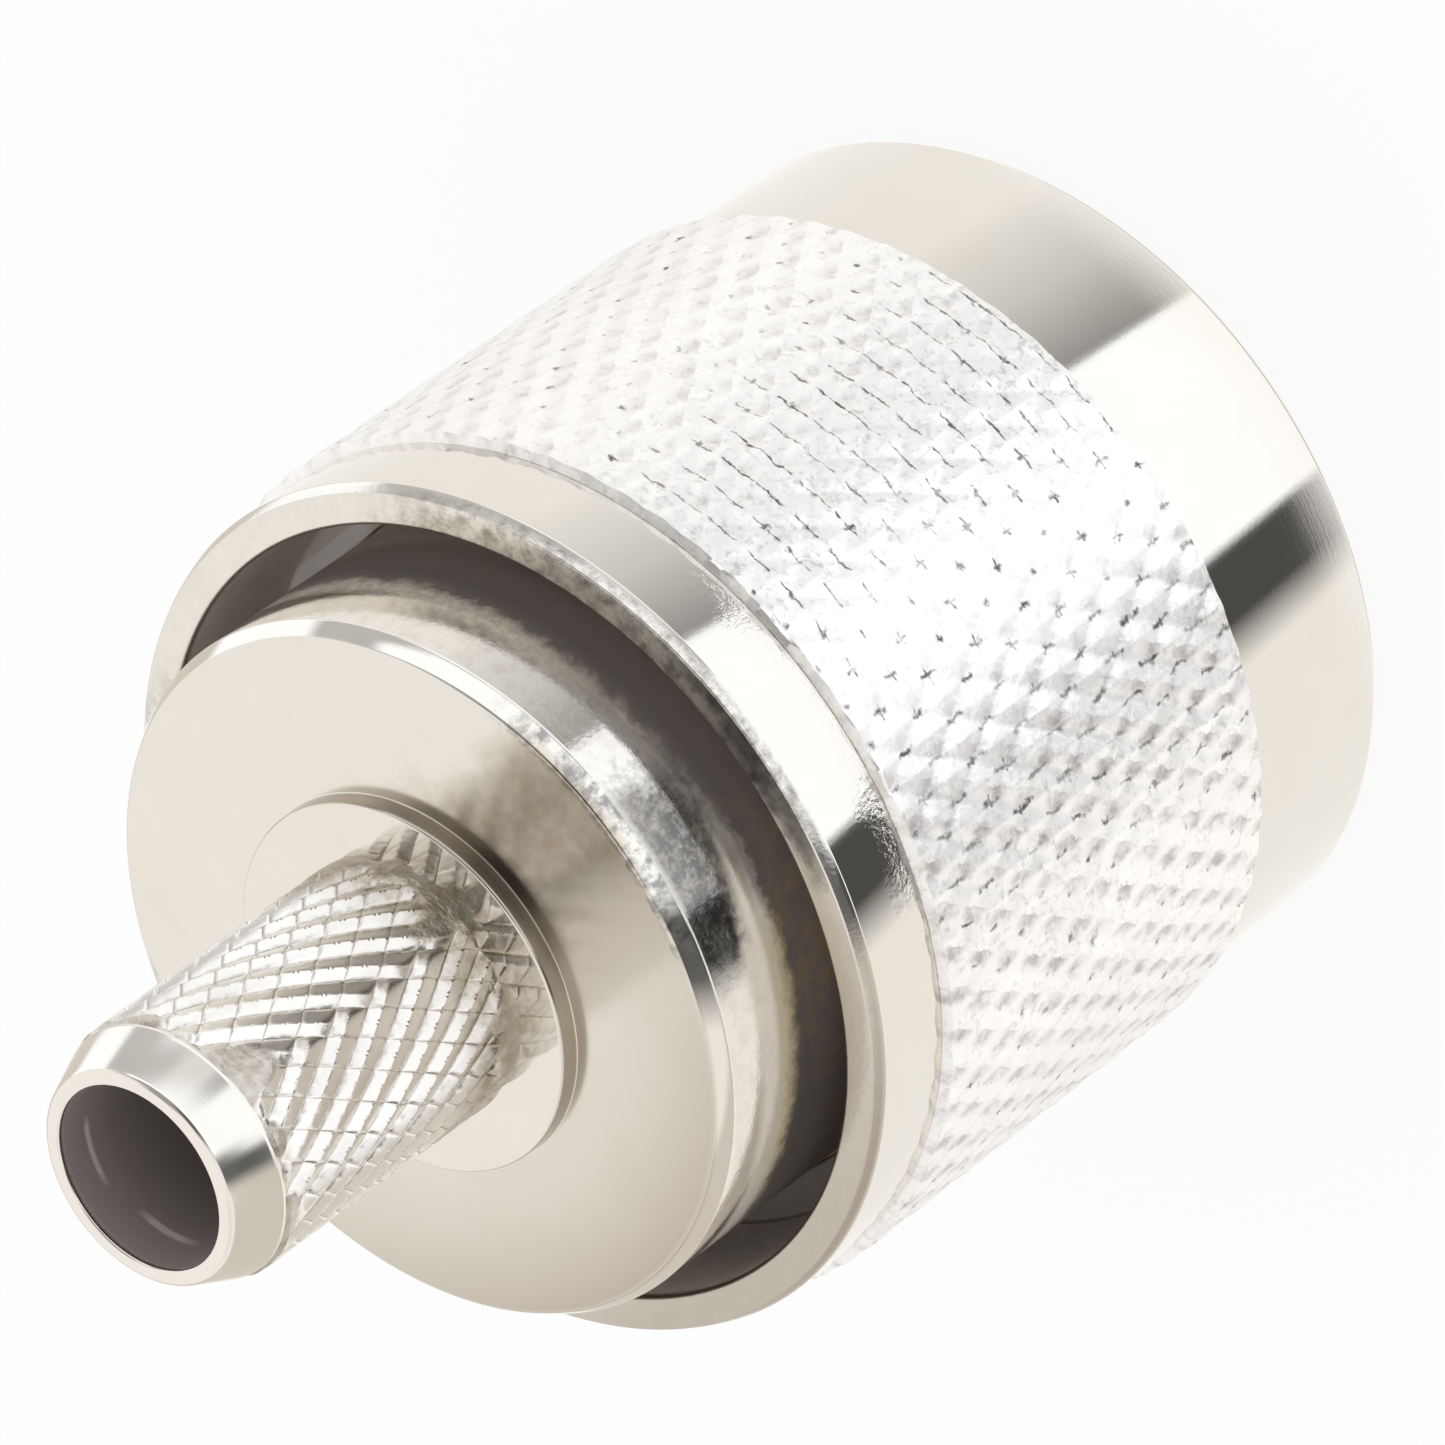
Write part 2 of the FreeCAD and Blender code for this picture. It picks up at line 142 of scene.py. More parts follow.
def feed(tree, node, values):
    """Link or set a node's inputs."""
    for key, value in values.items():
        socket = node.inputs[key]
        if isinstance(value, bpy.types.NodeSocket):
            tree.links.new(value, socket)
        else:
            socket.default_value = value
    return node


def math_node(tree, operation, first, second=0.0, clamp=False):
    node = add_node(tree, "ShaderNodeMath", operation=operation, use_clamp=clamp)
    feed(tree, node, {0: first, 1: second})
    return node.outputs[0]


def plus(tree, first, *others, clamp=False):
    for other in others:
        first = math_node(tree, "ADD", first, other, clamp)
    return first


def minus(tree, first, second):
    return math_node(tree, "SUBTRACT", first, second)


def times(tree, first, *others):
    for other in others:
        first = math_node(tree, "MULTIPLY", first, other)
    return first


def rgba(colour):
    """A colour of three numbers with full alpha; a socket or a whole colour stays as it is."""
    return (*colour, 1.0) if isinstance(colour, tuple) and len(colour) == 3 else colour


def ramp(tree, factor, stops):
    """Colour ramp; a stop is (place, colour) or (place, grey value)."""
    node = add_node(tree, "ShaderNodeValToRGB")
    elements = node.color_ramp.elements
    while len(elements) < len(stops):
        elements.new(0.5)
    for element, (place, colour) in zip(elements, stops):
        element.position = place
        element.color = rgba(colour if isinstance(colour, tuple) else (colour, colour, colour))
    feed(tree, node, {0: factor})
    return node.outputs[0]


def noise(tree, vector, scale, detail, roughness=0.5):
    node = add_node(tree, "ShaderNodeTexNoise")
    feed(tree, node, {"Vector": vector, "Scale": scale, "Detail": detail, "Roughness": roughness})
    return node.outputs["Fac"]


def spread(tree, factor, low, high, start=0.3, end=0.7):
    """Map a value from start and end to low and high, and no further; a noise factor fits the defaults."""
    node = add_node(tree, "ShaderNodeMapRange")
    feed(tree, node, {"Value": factor, "From Min": start, "From Max": end,
                      "To Min": low, "To Max": high})
    return node.outputs[0]


def blend_colour(tree, factor, first, second):
    node = add_node(tree, "ShaderNodeMix", data_type="RGBA")
    feed(tree, node, {0: factor, 6: rgba(first), 7: rgba(second)})
    return node.outputs[2]


def inside_range(tree, value, low, high, soft):
    """1 where a value lies between low and high, falling to 0 over soft."""
    rise = spread(tree, value, 0.0, 1.0, low - soft, low)
    fall = spread(tree, value, 1.0, 0.0, high, high + soft)
    return times(tree, rise, fall)


def inside_ranges(tree, *ranges):
    """Product of several ranges, each (value, low, high, soft)."""
    return times(tree, *[inside_range(tree, *one) for one in ranges])


def below(tree, value, limit, soft):
    """1 where a value is under a limit, falling to 0 over soft."""
    inside = math_node(tree, "DIVIDE", minus(tree, limit, value), soft)
    return plus(tree, inside, 0.5, clamp=True)


def object_position(tree):
    return add_node(tree, "ShaderNodeTexCoord").outputs["Object"]


def surface_places(tree):
    """Position, and x, y, radius and height in millimetres, in the piece's own space.

    The photograph's side of the object is at -x, and its right at +y."""
    position = object_position(tree)
    parts = add_node(tree, "ShaderNodeSeparateXYZ")
    feed(tree, parts, {0: position})
    x, y, height = [times(tree, output, 1 / MM) for output in parts.outputs]
    across = math_node(tree, "POWER", x, 2.0)
    along = math_node(tree, "POWER", y, 2.0)
    radius = math_node(tree, "SQRT", plus(tree, across, along))
    return SimpleNamespace(position=position, x=x, y=y, radius=radius, height=height)


def is_ray(tree, *rays):
    """1 for the kinds of ray that are named, as Light Path names them."""
    path = add_node(tree, "ShaderNodeLightPath")
    return plus(tree, *[path.outputs[ray] for ray in rays], clamp=True)


def mix_shaders(tree, factor, first, second):
    mix = add_node(tree, "ShaderNodeMixShader")
    feed(tree, mix, {0: factor, 1: first.outputs[0], 2: second.outputs[0]})
    return mix


def output_shader(tree, shader, kind="ShaderNodeOutputMaterial"):
    feed(tree, add_node(tree, kind), {0: shader.outputs[0]})


def finish_surface(tree, values):
    """Principled shader with these values."""
    shader = add_node(tree, "ShaderNodeBsdfPrincipled")
    output_shader(tree, feed(tree, shader, values))


def finish_metal(tree, colour, rough, bump, metallic=1.0, brushed=0.0):
    """Principled metal; brushed metal is rougher across the lathe's marks than along them."""
    values = {"Base Color": colour, "Metallic": metallic, "Roughness": rough, "Normal": bump}
    if brushed:
        tangent = add_node(tree, "ShaderNodeTangent", direction_type="RADIAL", axis="Z")
        values |= {"Anisotropic": brushed, "Anisotropic Rotation": 0.25, "Tangent": tangent.outputs[0]}
    finish_surface(tree, values)


def add_bump(tree, height, strength, distance_mm, normal=None):
    bump = add_node(tree, "ShaderNodeBump")
    feed(tree, bump, {"Strength": strength, "Distance": distance_mm * MM, "Height": height})
    if normal:
        feed(tree, bump, {"Normal": normal})
    return bump.outputs[0]


# Nickel of the nut and the body
NICKEL = (0.80, 0.765, 0.705)
NICKEL_WARM = (0.74, 0.685, 0.585)
# Painted shade on the body's flat back
FLAT_BACK_SHADE = (0.48, 0.42, 0.34)
NUT_RECESS = (0.80, 0.73, 0.67)
NUT_RECESS_BROWN = (0.70, 0.60, 0.50)
# Painted shade on the ledge of the nut's recess floor
LEDGE_SHADE = (0.30, 0.26, 0.23)
# Painted highlight of a streak on the ledge
STREAK_HIGHLIGHT = (0.95, 0.93, 0.90)
RIM_STAIN = (0.52, 0.47, 0.41)
RIM_SPECKS = (0.20, 0.18, 0.165)
# Painted shade and light on the body's wall in the recess
RECESS_SHADE = (0.22, 0.19, 0.175)
RECESS_SHADE_BROWN = (0.34, 0.24, 0.15)
RECESS_LEFT_LIGHT = (0.50, 0.45, 0.40)
RECESS_RIGHT_SHADE = (0.13, 0.115, 0.105)
RECESS_TOP_SHADE = (0.03, 0.026, 0.022)
SMUDGE = (0.50, 0.42, 0.31)
# Grime and painted shade in a band over the recess
SHADED_GRIME_DEEP = (0.36, 0.31, 0.23)
SHADED_GRIME_PALE = (0.58, 0.53, 0.44)
SHADED_GRIME_DARK = (0.17, 0.15, 0.12)
# Painted light on the lower wall
WALL_LIT_BEIGE = (0.74, 0.68, 0.58)
# Painted dark reflection on the wall
WALL_DARK_REFLECTION = (0.12, 0.115, 0.11)
WALL_SCUFFS = (0.48, 0.43, 0.37)
EDGE_SPECKS = (0.25, 0.24, 0.23)
FRINGE_YELLOW = (0.66, 0.54, 0.28)
# Painted contact shadow beside the boss, and painted shade on its side
BOSS_CONTACT_SHADOW = (0.28, 0.25, 0.22)
BOSS_SIDE_SHADE = (0.40, 0.345, 0.28)
END_RING = (0.86, 0.81, 0.76)
BORE_DARK = (0.30, 0.26, 0.25)
# Painted highlight arcs in the bore
BORE_HIGHLIGHT = (0.80, 0.76, 0.74)
TURNED_ROUGH = (0.035, 0.06)
TURNED_BRUSHED = 0.35


def turned_surface(tree, fine_scale):
    """Places on a turned piece with their noises: wide stains, a mottle for dirt and for painted shade, and a
    fine grain.
    """
    at = surface_places(tree)
    at.stain = noise(tree, at.position, 420.0, 4.0, 0.6)
    at.dirt = noise(tree, at.position, 2600.0, 4.0, 0.65)
    at.fine = noise(tree, at.position, fine_scale, 3.0, 0.6)
    return at


def turned_nickel(tree, at):
    """Bright nickel with faint warmer clouds."""
    return blend_colour(tree, spread(tree, at.stain, 0.0, 0.35, 0.45, 0.75), NICKEL, NICKEL_WARM)


def turned_bump(tree, at):
    """Fine rings of the lathe and a little grain."""
    rings = add_node(tree, "ShaderNodeCombineXYZ")
    feed(tree, rings, {0: at.radius, 1: 0.0, 2: at.height})
    marks = noise(tree, rings.outputs[0], 24.0, 2.0, 0.6)
    grain = noise(tree, at.position, 9000.0, 2.0)
    return add_bump(tree, plus(tree, times(tree, marks, 0.6), times(tree, grain, 0.4)), 0.2, 0.004)


def nickel_nut_material():
    """Bright turned nickel of the nut; dull and dark in the recess behind its rear rim, with painted shade on
    the right half of the recess floor and a painted highlight streak on its left half.
    """
    material, tree = new_material("nickel_nut")
    at = turned_surface(tree, 6000.0)
    colour = turned_nickel(tree, at)
    recess = inside_ranges(tree, (at.radius, 0.0, 9.2, 0.06), (at.height, 14.2, 17.66, 0.14))
    brown = blend_colour(tree, spread(tree, at.dirt, 0.0, 1.0, 0.45, 0.8), NUT_RECESS, NUT_RECESS_BROWN)
    # Painted shade on the ledge of the recess floor, on the right half of the nut
    ledge = inside_ranges(tree, (at.height, 14.2, 14.5, 0.05), (at.y, 0.0, 10.0, 1.0))
    brown = blend_colour(tree, ledge, brown, LEDGE_SHADE)
    colour = blend_colour(tree, recess, colour, brown)
    # Painted highlight: a bright straight streak on the recess floor
    streak = inside_ranges(tree, (at.y, -8.62, -8.30, 0.06), (at.x, 0.4, 3.4, 0.3),
                           (at.height, 14.3, 14.45, 0.04))
    colour = blend_colour(tree, streak, colour, STREAK_HIGHLIGHT)
    rim = inside_ranges(tree, (at.radius, 9.1, 10.0, 0.06), (at.height, 17.7, 18.0, 0.08))
    stained = times(tree, rim, spread(tree, at.y, 0.0, 1.0, 3.0, 9.0))
    colour = blend_colour(tree, stained, colour, RIM_STAIN)
    worn_side = inside_range(tree, at.y, -7.2, 1.8, 1.5)
    specks = times(tree, rim, spread(tree, at.dirt, 0.0, 1.0, 0.40, 0.68))
    specks = times(tree, specks, plus(tree, times(tree, worn_side, 0.75), 0.05))
    colour = blend_colour(tree, specks, colour, RIM_SPECKS)
    near_knurl = inside_ranges(tree, (at.radius, 9.9, 10.2, 0.05), (at.y, -2.8, 4.4, 1.0),
                               (at.height, KNURL_BACK - 0.3, KNURL_BACK + 0.2, 0.8))
    rough = plus(tree, spread(tree, at.stain, *TURNED_ROUGH), times(tree, recess, 0.45),
                 times(tree, rim, 0.12))
    uneven = plus(tree, times(tree, rim, 0.25), times(tree, near_knurl, 0.7), clamp=True)
    bump = add_bump(tree, at.fine, uneven, 0.02, turned_bump(tree, at))
    metallic = minus(tree, 1.0, times(tree, recess, 0.85))
    finish_metal(tree, colour, rough, bump, metallic, TURNED_BRUSHED)
    return material


def paint_flat_back(tree, at, colour):
    """Painted shade that darkens the flat back towards the right and towards its outer edge, and a brown
    smudge towards the photograph's side.
    """
    # Painted shade: darker towards the right and towards the outer edge
    flat = inside_ranges(tree, (at.radius, 4.3, 7.9, 0.2), (at.height, 20.7, 20.9, 0.05))
    side = spread(tree, at.y, 0.0, 1.0, -1.0, 9.0)
    outer = spread(tree, at.radius, 0.45, 1.0, 5.0, 7.8)
    colour = blend_colour(tree, times(tree, flat, side, outer), colour, FLAT_BACK_SHADE)
    place = plus(tree, at.y, spread(tree, at.stain, -1.0, 1.0))
    smudge = inside_ranges(tree, (at.radius, 4.3, 8.0, 0.2), (at.height, 20.6, 20.9, 0.05),
                           (place, -1.6, -0.3, 1.8), (at.x, -8.0, -4.5, 3.5))
    smudge = times(tree, smudge, spread(tree, at.dirt, 0.6, 0.9, 0.35, 0.65))
    return blend_colour(tree, smudge, colour, SMUDGE), flat


def paint_deep_wall(tree, at, colour, wavy_height):
    """Painted shade on the lower wall in the nut's recess; over its edge a khaki band of grime and painted
    shade, and painted light in beige over that band on the right.
    """
    wall_radius = (at.radius, 7.9, 9.0, 0.1)
    # Grime and painted shade: a mottled khaki band where the wall goes down into the recess, darker towards
    # the middle
    grime_and_shade = inside_ranges(tree, wall_radius, (wavy_height, 18.0, 18.5, 0.35))
    grime_and_shade = times(tree, grime_and_shade, spread(tree, at.y, 0.8, 0.0, 0.5, 2.5))
    khaki = blend_colour(tree, spread(tree, at.fine, 0.0, 1.0, 0.35, 0.65), SHADED_GRIME_DEEP, SHADED_GRIME_PALE)
    khaki = blend_colour(tree, spread(tree, at.y, 0.0, 0.8, -4.5, -2.5), khaki, SHADED_GRIME_DARK)
    colour = blend_colour(tree, grime_and_shade, colour, khaki)
    # Painted light: the wall is painted light beige down over the band on the right
    beige_height = plus(tree, at.height, spread(tree, at.y, 0.4, 0.0, 2.5, 4.0))
    beige = inside_ranges(tree, wall_radius, (beige_height, 18.0, 19.25, 0.3), (at.y, 3.0, 10.0, 1.2))
    beige = times(tree, beige, 0.8)
    colour = blend_colour(tree, beige, colour, WALL_LIT_BEIGE)
    # Painted shade: the wall in the recess is painted dark brown, lighter at the low left end, darker to the
    # right and almost black towards the top under the nut's rim
    recess = inside_ranges(tree, wall_radius, (wavy_height, 13.6, 18.0, 0.3))
    browner = times(tree, spread(tree, at.dirt, 0.0, 1.0, 0.4, 0.7), spread(tree, at.y, 0.2, 1.0, 0.0, 3.0))
    brown = blend_colour(tree, browner, RECESS_SHADE, RECESS_SHADE_BROWN)
    left_end = times(tree, spread(tree, at.y, 1.0, 0.0, -8.0, -5.5),
                     spread(tree, at.height, 1.0, 0.0, 16.4, 17.0))
    brown = blend_colour(tree, left_end, brown, RECESS_LEFT_LIGHT)
    brown = blend_colour(tree, spread(tree, at.y, 0.0, 0.8, 4.8, 6.8), brown, RECESS_RIGHT_SHADE)
    brown = blend_colour(tree, spread(tree, at.height, 0.0, 0.55, 17.1, 17.9), brown, RECESS_TOP_SHADE)
    return blend_colour(tree, recess, colour, brown), recess, plus(tree, grime_and_shade, beige)


def paint_boss(tree, at, colour):
    """Painted shade on the side of the boss, and a painted contact shadow on the flat back beside it."""
    # Painted contact shadow on the flat back next to the boss
    dirt = inside_ranges(tree, (at.radius, 4.3, 4.7, 0.4), (at.height, 20.6, 20.9, 0.05),
                         (at.y, -1.2, 0.8, 1.0), (at.x, -6.0, -2.0, 1.0))
    colour = blend_colour(tree, times(tree, dirt, 0.75), colour, BOSS_CONTACT_SHADOW)
    # Painted shade on the side of the boss
    side = inside_ranges(tree, (at.radius, 4.2, 4.5, 0.05), (at.height, 20.8, 21.18, 0.04))
    return blend_colour(tree, times(tree, side, 0.9), colour, BOSS_SIDE_SHADE)


def paint_upper_wall(tree, at, colour, wavy_height):
    """Bright wall with a painted dark reflection in a speckled patch, scuffs, a specked edge and a yellowish
    fringe.
    """
    wall = inside_ranges(tree, (at.radius, 7.9, 9.0, 0.1), (at.height, 18.4, 20.2, 0.25))
    # Painted dark reflection: a speckled dark patch on the front of the wall, paler towards its top
    dark_reflection_patch = inside_range(tree, plus(tree, at.y, spread(tree, at.dirt, -0.5, 0.5)), -0.2, 2.8, 0.9)
    speckle = plus(tree, times(tree, at.dirt, 0.4), times(tree, at.fine, 0.6))
    bright_specks = spread(tree, speckle, 0.97, 0.70, 0.46, 0.64)
    paler_top = spread(tree, at.height, 1.0, 0.88, 19.3, 20.1)
    slanted_height = minus(tree, at.height, spread(tree, at.y, 0.0, 0.62, 0.0, 2.8))
    # Above the band of grime and painted shade
    above_shaded_grime = spread(tree, slanted_height, 0.0, 1.0, 18.2, 18.5)
    front_half = math_node(tree, "LESS_THAN", at.x, 0.0)
    dark_reflection_patch = times(tree, dark_reflection_patch, wall, bright_specks, paler_top, above_shaded_grime, front_half)
    colour = blend_colour(tree, dark_reflection_patch, colour, WALL_DARK_REFLECTION)
    scuffs = times(tree, wall, spread(tree, at.dirt, 0.0, 0.4, 0.45, 0.75))
    colour = blend_colour(tree, scuffs, colour, WALL_SCUFFS)
    edge = inside_ranges(tree, (at.radius, 7.85, 8.3, 0.05), (at.height, 20.4, 20.75, 0.05),
                         (at.y, -2.6, 2.2, 1.2))
    specks = times(tree, edge, spread(tree, at.dirt, 0.0, 0.85, 0.42, 0.6))
    colour = blend_colour(tree, specks, colour, EDGE_SPECKS)
    fringe = inside_ranges(tree, (at.y, 3.8, 7.2, 0.9), (wavy_height, 18.1, 18.4, 0.25))
    return blend_colour(tree, times(tree, fringe, 0.45), colour, FRINGE_YELLOW), wall


def paint_stem_end(tree, at, colour):
    """Pale end ring, and a dark bore with two short painted highlight arcs on its far wall."""
    end_ring = inside_range(tree, at.height, 29.6, 30.0, 0.05)
    colour = blend_colour(tree, times(tree, end_ring, 0.8), colour, END_RING)
    bore = inside_ranges(tree, (at.radius, 0.0, 2.16, 0.03), (at.height, 15.0, 29.5, 0.12))
    colour = blend_colour(tree, bore, colour, BORE_DARK)
    # Painted highlights: two short light arcs on the far wall of the bore
    bore_wall = (at.radius, 2.0, 2.2, 0.03)
    left_arc = inside_ranges(tree, bore_wall, (at.height, 28.78, 28.86, 0.05), (at.y, -1.5, -0.6, 0.4),
                             (at.x, 1.5, 2.2, 0.2))
    right_arc = inside_ranges(tree, bore_wall, (at.height, 28.5, 28.62, 0.06), (at.y, 0.9, 1.5, 0.4),
                              (at.x, 1.2, 2.2, 0.2))
    arcs = times(tree, math_node(tree, "MAXIMUM", left_arc, right_arc), 0.6)
    return blend_colour(tree, arcs, colour, BORE_HIGHLIGHT), bore


def nickel_body_material():
    """Turned nickel of the body: bright wall, satin flat back, dark recess and bore, with painted shade on
    the recess, the flat back and the boss, a painted dark reflection on the wall and painted highlights in
    the bore.
    """
    material, tree = new_material("nickel_body")
    at = turned_surface(tree, 7000.0)
    edge_shift = plus(tree, spread(tree, at.y, 0.35, 0.0, -0.5, 1.5), spread(tree, at.y, 0.0, 0.45, 2.0, 7.7))
    wavy_height = minus(tree, plus(tree, at.height, spread(tree, at.dirt, -0.12, 0.12)), edge_shift)
    colour, flat = paint_flat_back(tree, at, turned_nickel(tree, at))
    colour, recess, grime_and_shade = paint_deep_wall(tree, at, colour, wavy_height)
    colour = paint_boss(tree, at, colour)
    colour, wall = paint_upper_wall(tree, at, colour, wavy_height)
    colour, bore = paint_stem_end(tree, at, colour)
    cone = inside_range(tree, at.height, 28.3, 29.6, 0.1)
    rough = plus(tree, spread(tree, at.stain, *TURNED_ROUGH), times(tree, recess, 0.35),
                 times(tree, flat, 0.13), times(tree, bore, 0.4), times(tree, wall, 0.05),
                 times(tree, cone, 0.11))
    dull = math_node(tree, "MAXIMUM", times(tree, recess, 0.92), times(tree, grime_and_shade, 0.9))
    metallic = minus(tree, 1.0, plus(tree, times(tree, bore, 0.75), dull))
    bump = add_bump(tree, at.fine, times(tree, wall, 0.4), 0.006, turned_bump(tree, at))
    finish_metal(tree, colour, rough, bump, metallic, TURNED_BRUSHED)
    return material


# Rolled nickel of the two knurls
STEM_BRIGHT = (0.83, 0.80, 0.755)
STEM_STAINED = (0.76, 0.715, 0.645)
# Dirt and painted shade in the stem's grooves
STEM_GROOVE = (0.42, 0.37, 0.31)
STEM_WORN = (0.62, 0.58, 0.51)
STEM_PITS = (0.40, 0.35, 0.29)
STEM_FOOT = (0.42, 0.36, 0.28)
KNURL_BRIGHT = (0.97, 0.955, 0.935)
KNURL_STAINED = (0.93, 0.905, 0.88)
KNURL_SHADE = (0.40, 0.365, 0.345)
KNURL_FLECKS = (0.30, 0.27, 0.25)
# Painted shade and dark reflections at the pits of the nut's knurl
KNURL_CROSS_SHADE = (0.12, 0.11, 0.105)


def stem_knurl_material():
    """Bright teeth of the stem, brown dirt and painted shade in the grooves, dull and pitted where the teeth
    are worn away.

    The groove attribute is 1 in a groove and -1 where the teeth are worn away."""
    material, tree = new_material("nickel_stem_knurl")
    at = surface_places(tree)
    stain = noise(tree, at.position, 500.0, 4.0, 0.6)
    fine = noise(tree, at.position, 5000.0, 3.0, 0.65)
    blots = noise(tree, at.position, 2200.0, 3.0, 0.6)
    colour = blend_colour(tree, spread(tree, stain, 0.0, 0.6, 0.4, 0.75), STEM_BRIGHT, STEM_STAINED)
    groove = add_node(tree, "ShaderNodeAttribute", attribute_name="groove").outputs["Fac"]
    # Dirt and painted shade: the grooves are painted brown
    dirt = times(tree, spread(tree, groove, 0.0, 1.0, 0.35, 0.9), spread(tree, fine, 0.2, 0.9, 0.35, 0.65))
    colour = blend_colour(tree, dirt, colour, STEM_GROOVE)
    worn = spread(tree, groove, 1.0, 0.0, -0.8, -0.1)
    dull = blend_colour(tree, spread(tree, blots, 0.0, 1.0, 0.4, 0.65), STEM_WORN, STEM_PITS)
    colour = blend_colour(tree, times(tree, worn, 0.9), colour, dull)
    foot = times(tree, spread(tree, at.height, 1.0, 0.0, 21.9, 22.9), spread(tree, blots, 0.4, 0.9, 0.4, 0.6))
    colour = blend_colour(tree, foot, colour, STEM_FOOT)
    grain = add_bump(tree, fine, 0.5, 0.006)
    pitted = add_bump(tree, blots, times(tree, worn, 0.9), 0.06, grain)
    rough = plus(tree, spread(tree, stain, 0.18, 0.26), times(tree, worn, 0.15))
    finish_metal(tree, colour, rough, pitted)
    return material


def pit_places(tree, at, angle, jitter):
    """Where a point of the nut's knurl lies on its teeth.

    round_pit and along_pit: millimetres round and along the part from the nearest pit. first and
    second: place on the tooth between its grooves of each family, from -0.5 to 0.5."""
    across = times(tree, minus(tree, angle, KNURL_TURN), KNURL_TEETH / math.pi)
    along = math_node(tree, "DIVIDE", minus(tree, at.height, KNURL_FIRST_TIPS), KNURL_ROW)
    across = plus(tree, across, jitter[0])
    along = plus(tree, along, jitter[1])
    first = minus(tree, math_node(tree, "FRACT", times(tree, plus(tree, across, along), 0.5)), 0.5)
    second = minus(tree, math_node(tree, "FRACT", times(tree, minus(tree, across, along), 0.5)), 0.5)
    round_pit = math_node(tree, "ABSOLUTE", plus(tree, first, second))
    along_pit = math_node(tree, "ABSOLUTE", minus(tree, first, second))
    return SimpleNamespace(round_pit=times(tree, round_pit, math.pi * KNURL_TIP / KNURL_TEETH),
                           along_pit=times(tree, along_pit, KNURL_ROW), first=first, second=second)


def knurl_crosses(tree, at, teeth, place, stain, fine, coarse):
    """Painted shade in the pits and painted dark reflections along the rows, as crosses round the pits, their
    arms long round the nut on one side and along it on the other.
    """
    round_arm = ramp(tree, place, [(0.0, 0.11), (0.03, 0.34), (0.08, 0.44), (0.11, 0.0), (0.5, 0.2),
                                   (0.9, 0.0), (0.955, 0.07), (1.0, 0.11)])
    long_arm = ramp(tree, place, [(0.0, 0.11), (0.03, 0.05), (0.11, 0.0), (0.5, 0.15), (0.88, 0.0),
                                  (0.92, 0.26), (0.955, 0.28), (0.975, 0.16), (1.0, 0.11)])
    vary = spread(tree, coarse, -0.14, 0.16)
    thick = spread(tree, fine, 0.0, 0.038, 0.35, 0.65)
    row_marks = times(tree, below(tree, teeth.along_pit, thick, 0.025),
                      below(tree, teeth.round_pit, plus(tree, round_arm, vary), 0.06))
    dashes = times(tree, below(tree, teeth.round_pit, times(tree, thick, 2.0), 0.08),
                   below(tree, teeth.along_pit, plus(tree, long_arm, vary), 0.08))
    return times(tree, math_node(tree, "MAXIMUM", row_marks, dashes),
                 spread(tree, stain, 0.6, 0.98, 0.4, 0.6), inside_range(tree, at.height, 0.0, 15.5, 0.1))


def knurl_shade(tree, teeth, place, angle, other):
    """Soft shade on one flank of each tooth, strongest to the right of the photograph's side."""
    shadow = ramp(tree, place, [(0.0, 0.0), (0.06, 0.12), (0.10, 0.35), (0.2, 0.3), (0.5, 0.3), (0.80, 0.60),
                                (0.90, 0.75), (0.945, 0.70), (0.965, 0.25), (1.0, 0.0)])
    left_side = math_node(tree, "LESS_THAN", angle, 0.0)
    flank = blend_colour(tree, left_side, spread(tree, teeth.second, 0.0, 1.0, -0.05, 0.25),
                         spread(tree, teeth.first, 1.0, 0.0, -0.25, 0.05))
    middle = blend_colour(tree, left_side, math_node(tree, "ABSOLUTE", teeth.first),
                          math_node(tree, "ABSOLUTE", teeth.second))
    return times(tree, flank, spread(tree, middle, 1.0, 0.0, 0.12, 0.45), shadow,
                 spread(tree, other, 0.25, 1.0, 0.38, 0.62))


def nut_knurl_material():
    """Rolled knurl of the nut: worn bright teeth with crosses of painted shade and dark reflection, painted
    shade and flecks.

    A ramp's place runs round the nut from 0 to 1, both of which are the photograph's side."""
    material, tree = new_material("nickel_nut_knurl")
    at = surface_places(tree)
    stain = noise(tree, at.position, 500.0, 4.0, 0.6)
    fine = noise(tree, at.position, 5200.0, 3.0, 0.65)
    coarse = noise(tree, at.position, 1500.0, 3.0, 0.6)
    other = noise(tree, at.position, 2300.0, 3.0, 0.6)
    jitter = (spread(tree, other, -0.16, 0.16), spread(tree, other, 0.07, -0.07))
    angle = math_node(tree, "ARCTAN2", at.y, at.x)
    teeth = pit_places(tree, at, angle, jitter)
    place = math_node(tree, "DIVIDE", plus(tree, angle, math.pi), TAU)
    crosses = knurl_crosses(tree, at, teeth, place, stain, fine, coarse)
    shade = knurl_shade(tree, teeth, place, angle, other)
    flecked = ramp(tree, place, [(0.0, 0.12), (0.04, 0.4), (0.10, 0.25), (0.2, 0.1), (0.8, 0.2),
                                 (0.92, 0.35), (0.97, 0.15), (1.0, 0.12)])
    flecks = times(tree, spread(tree, fine, 0.0, 1.0, 0.52, 0.62), spread(tree, other, 0.2, 1.0, 0.42, 0.6),
                   flecked)
    colour = blend_colour(tree, spread(tree, stain, 0.0, 0.6, 0.4, 0.75), KNURL_BRIGHT, KNURL_STAINED)
    # Painted shade on the flanks, flecks, and crosses of painted shade and dark reflection at the pits
    for amount, mark in ((shade, KNURL_SHADE), (flecks, KNURL_FLECKS), (crosses, KNURL_CROSS_SHADE)):
        colour = blend_colour(tree, amount, colour, mark)
    finish_metal(tree, colour, spread(tree, stain, 0.3, 0.4), add_bump(tree, fine, 0.6, 0.02))
    return material


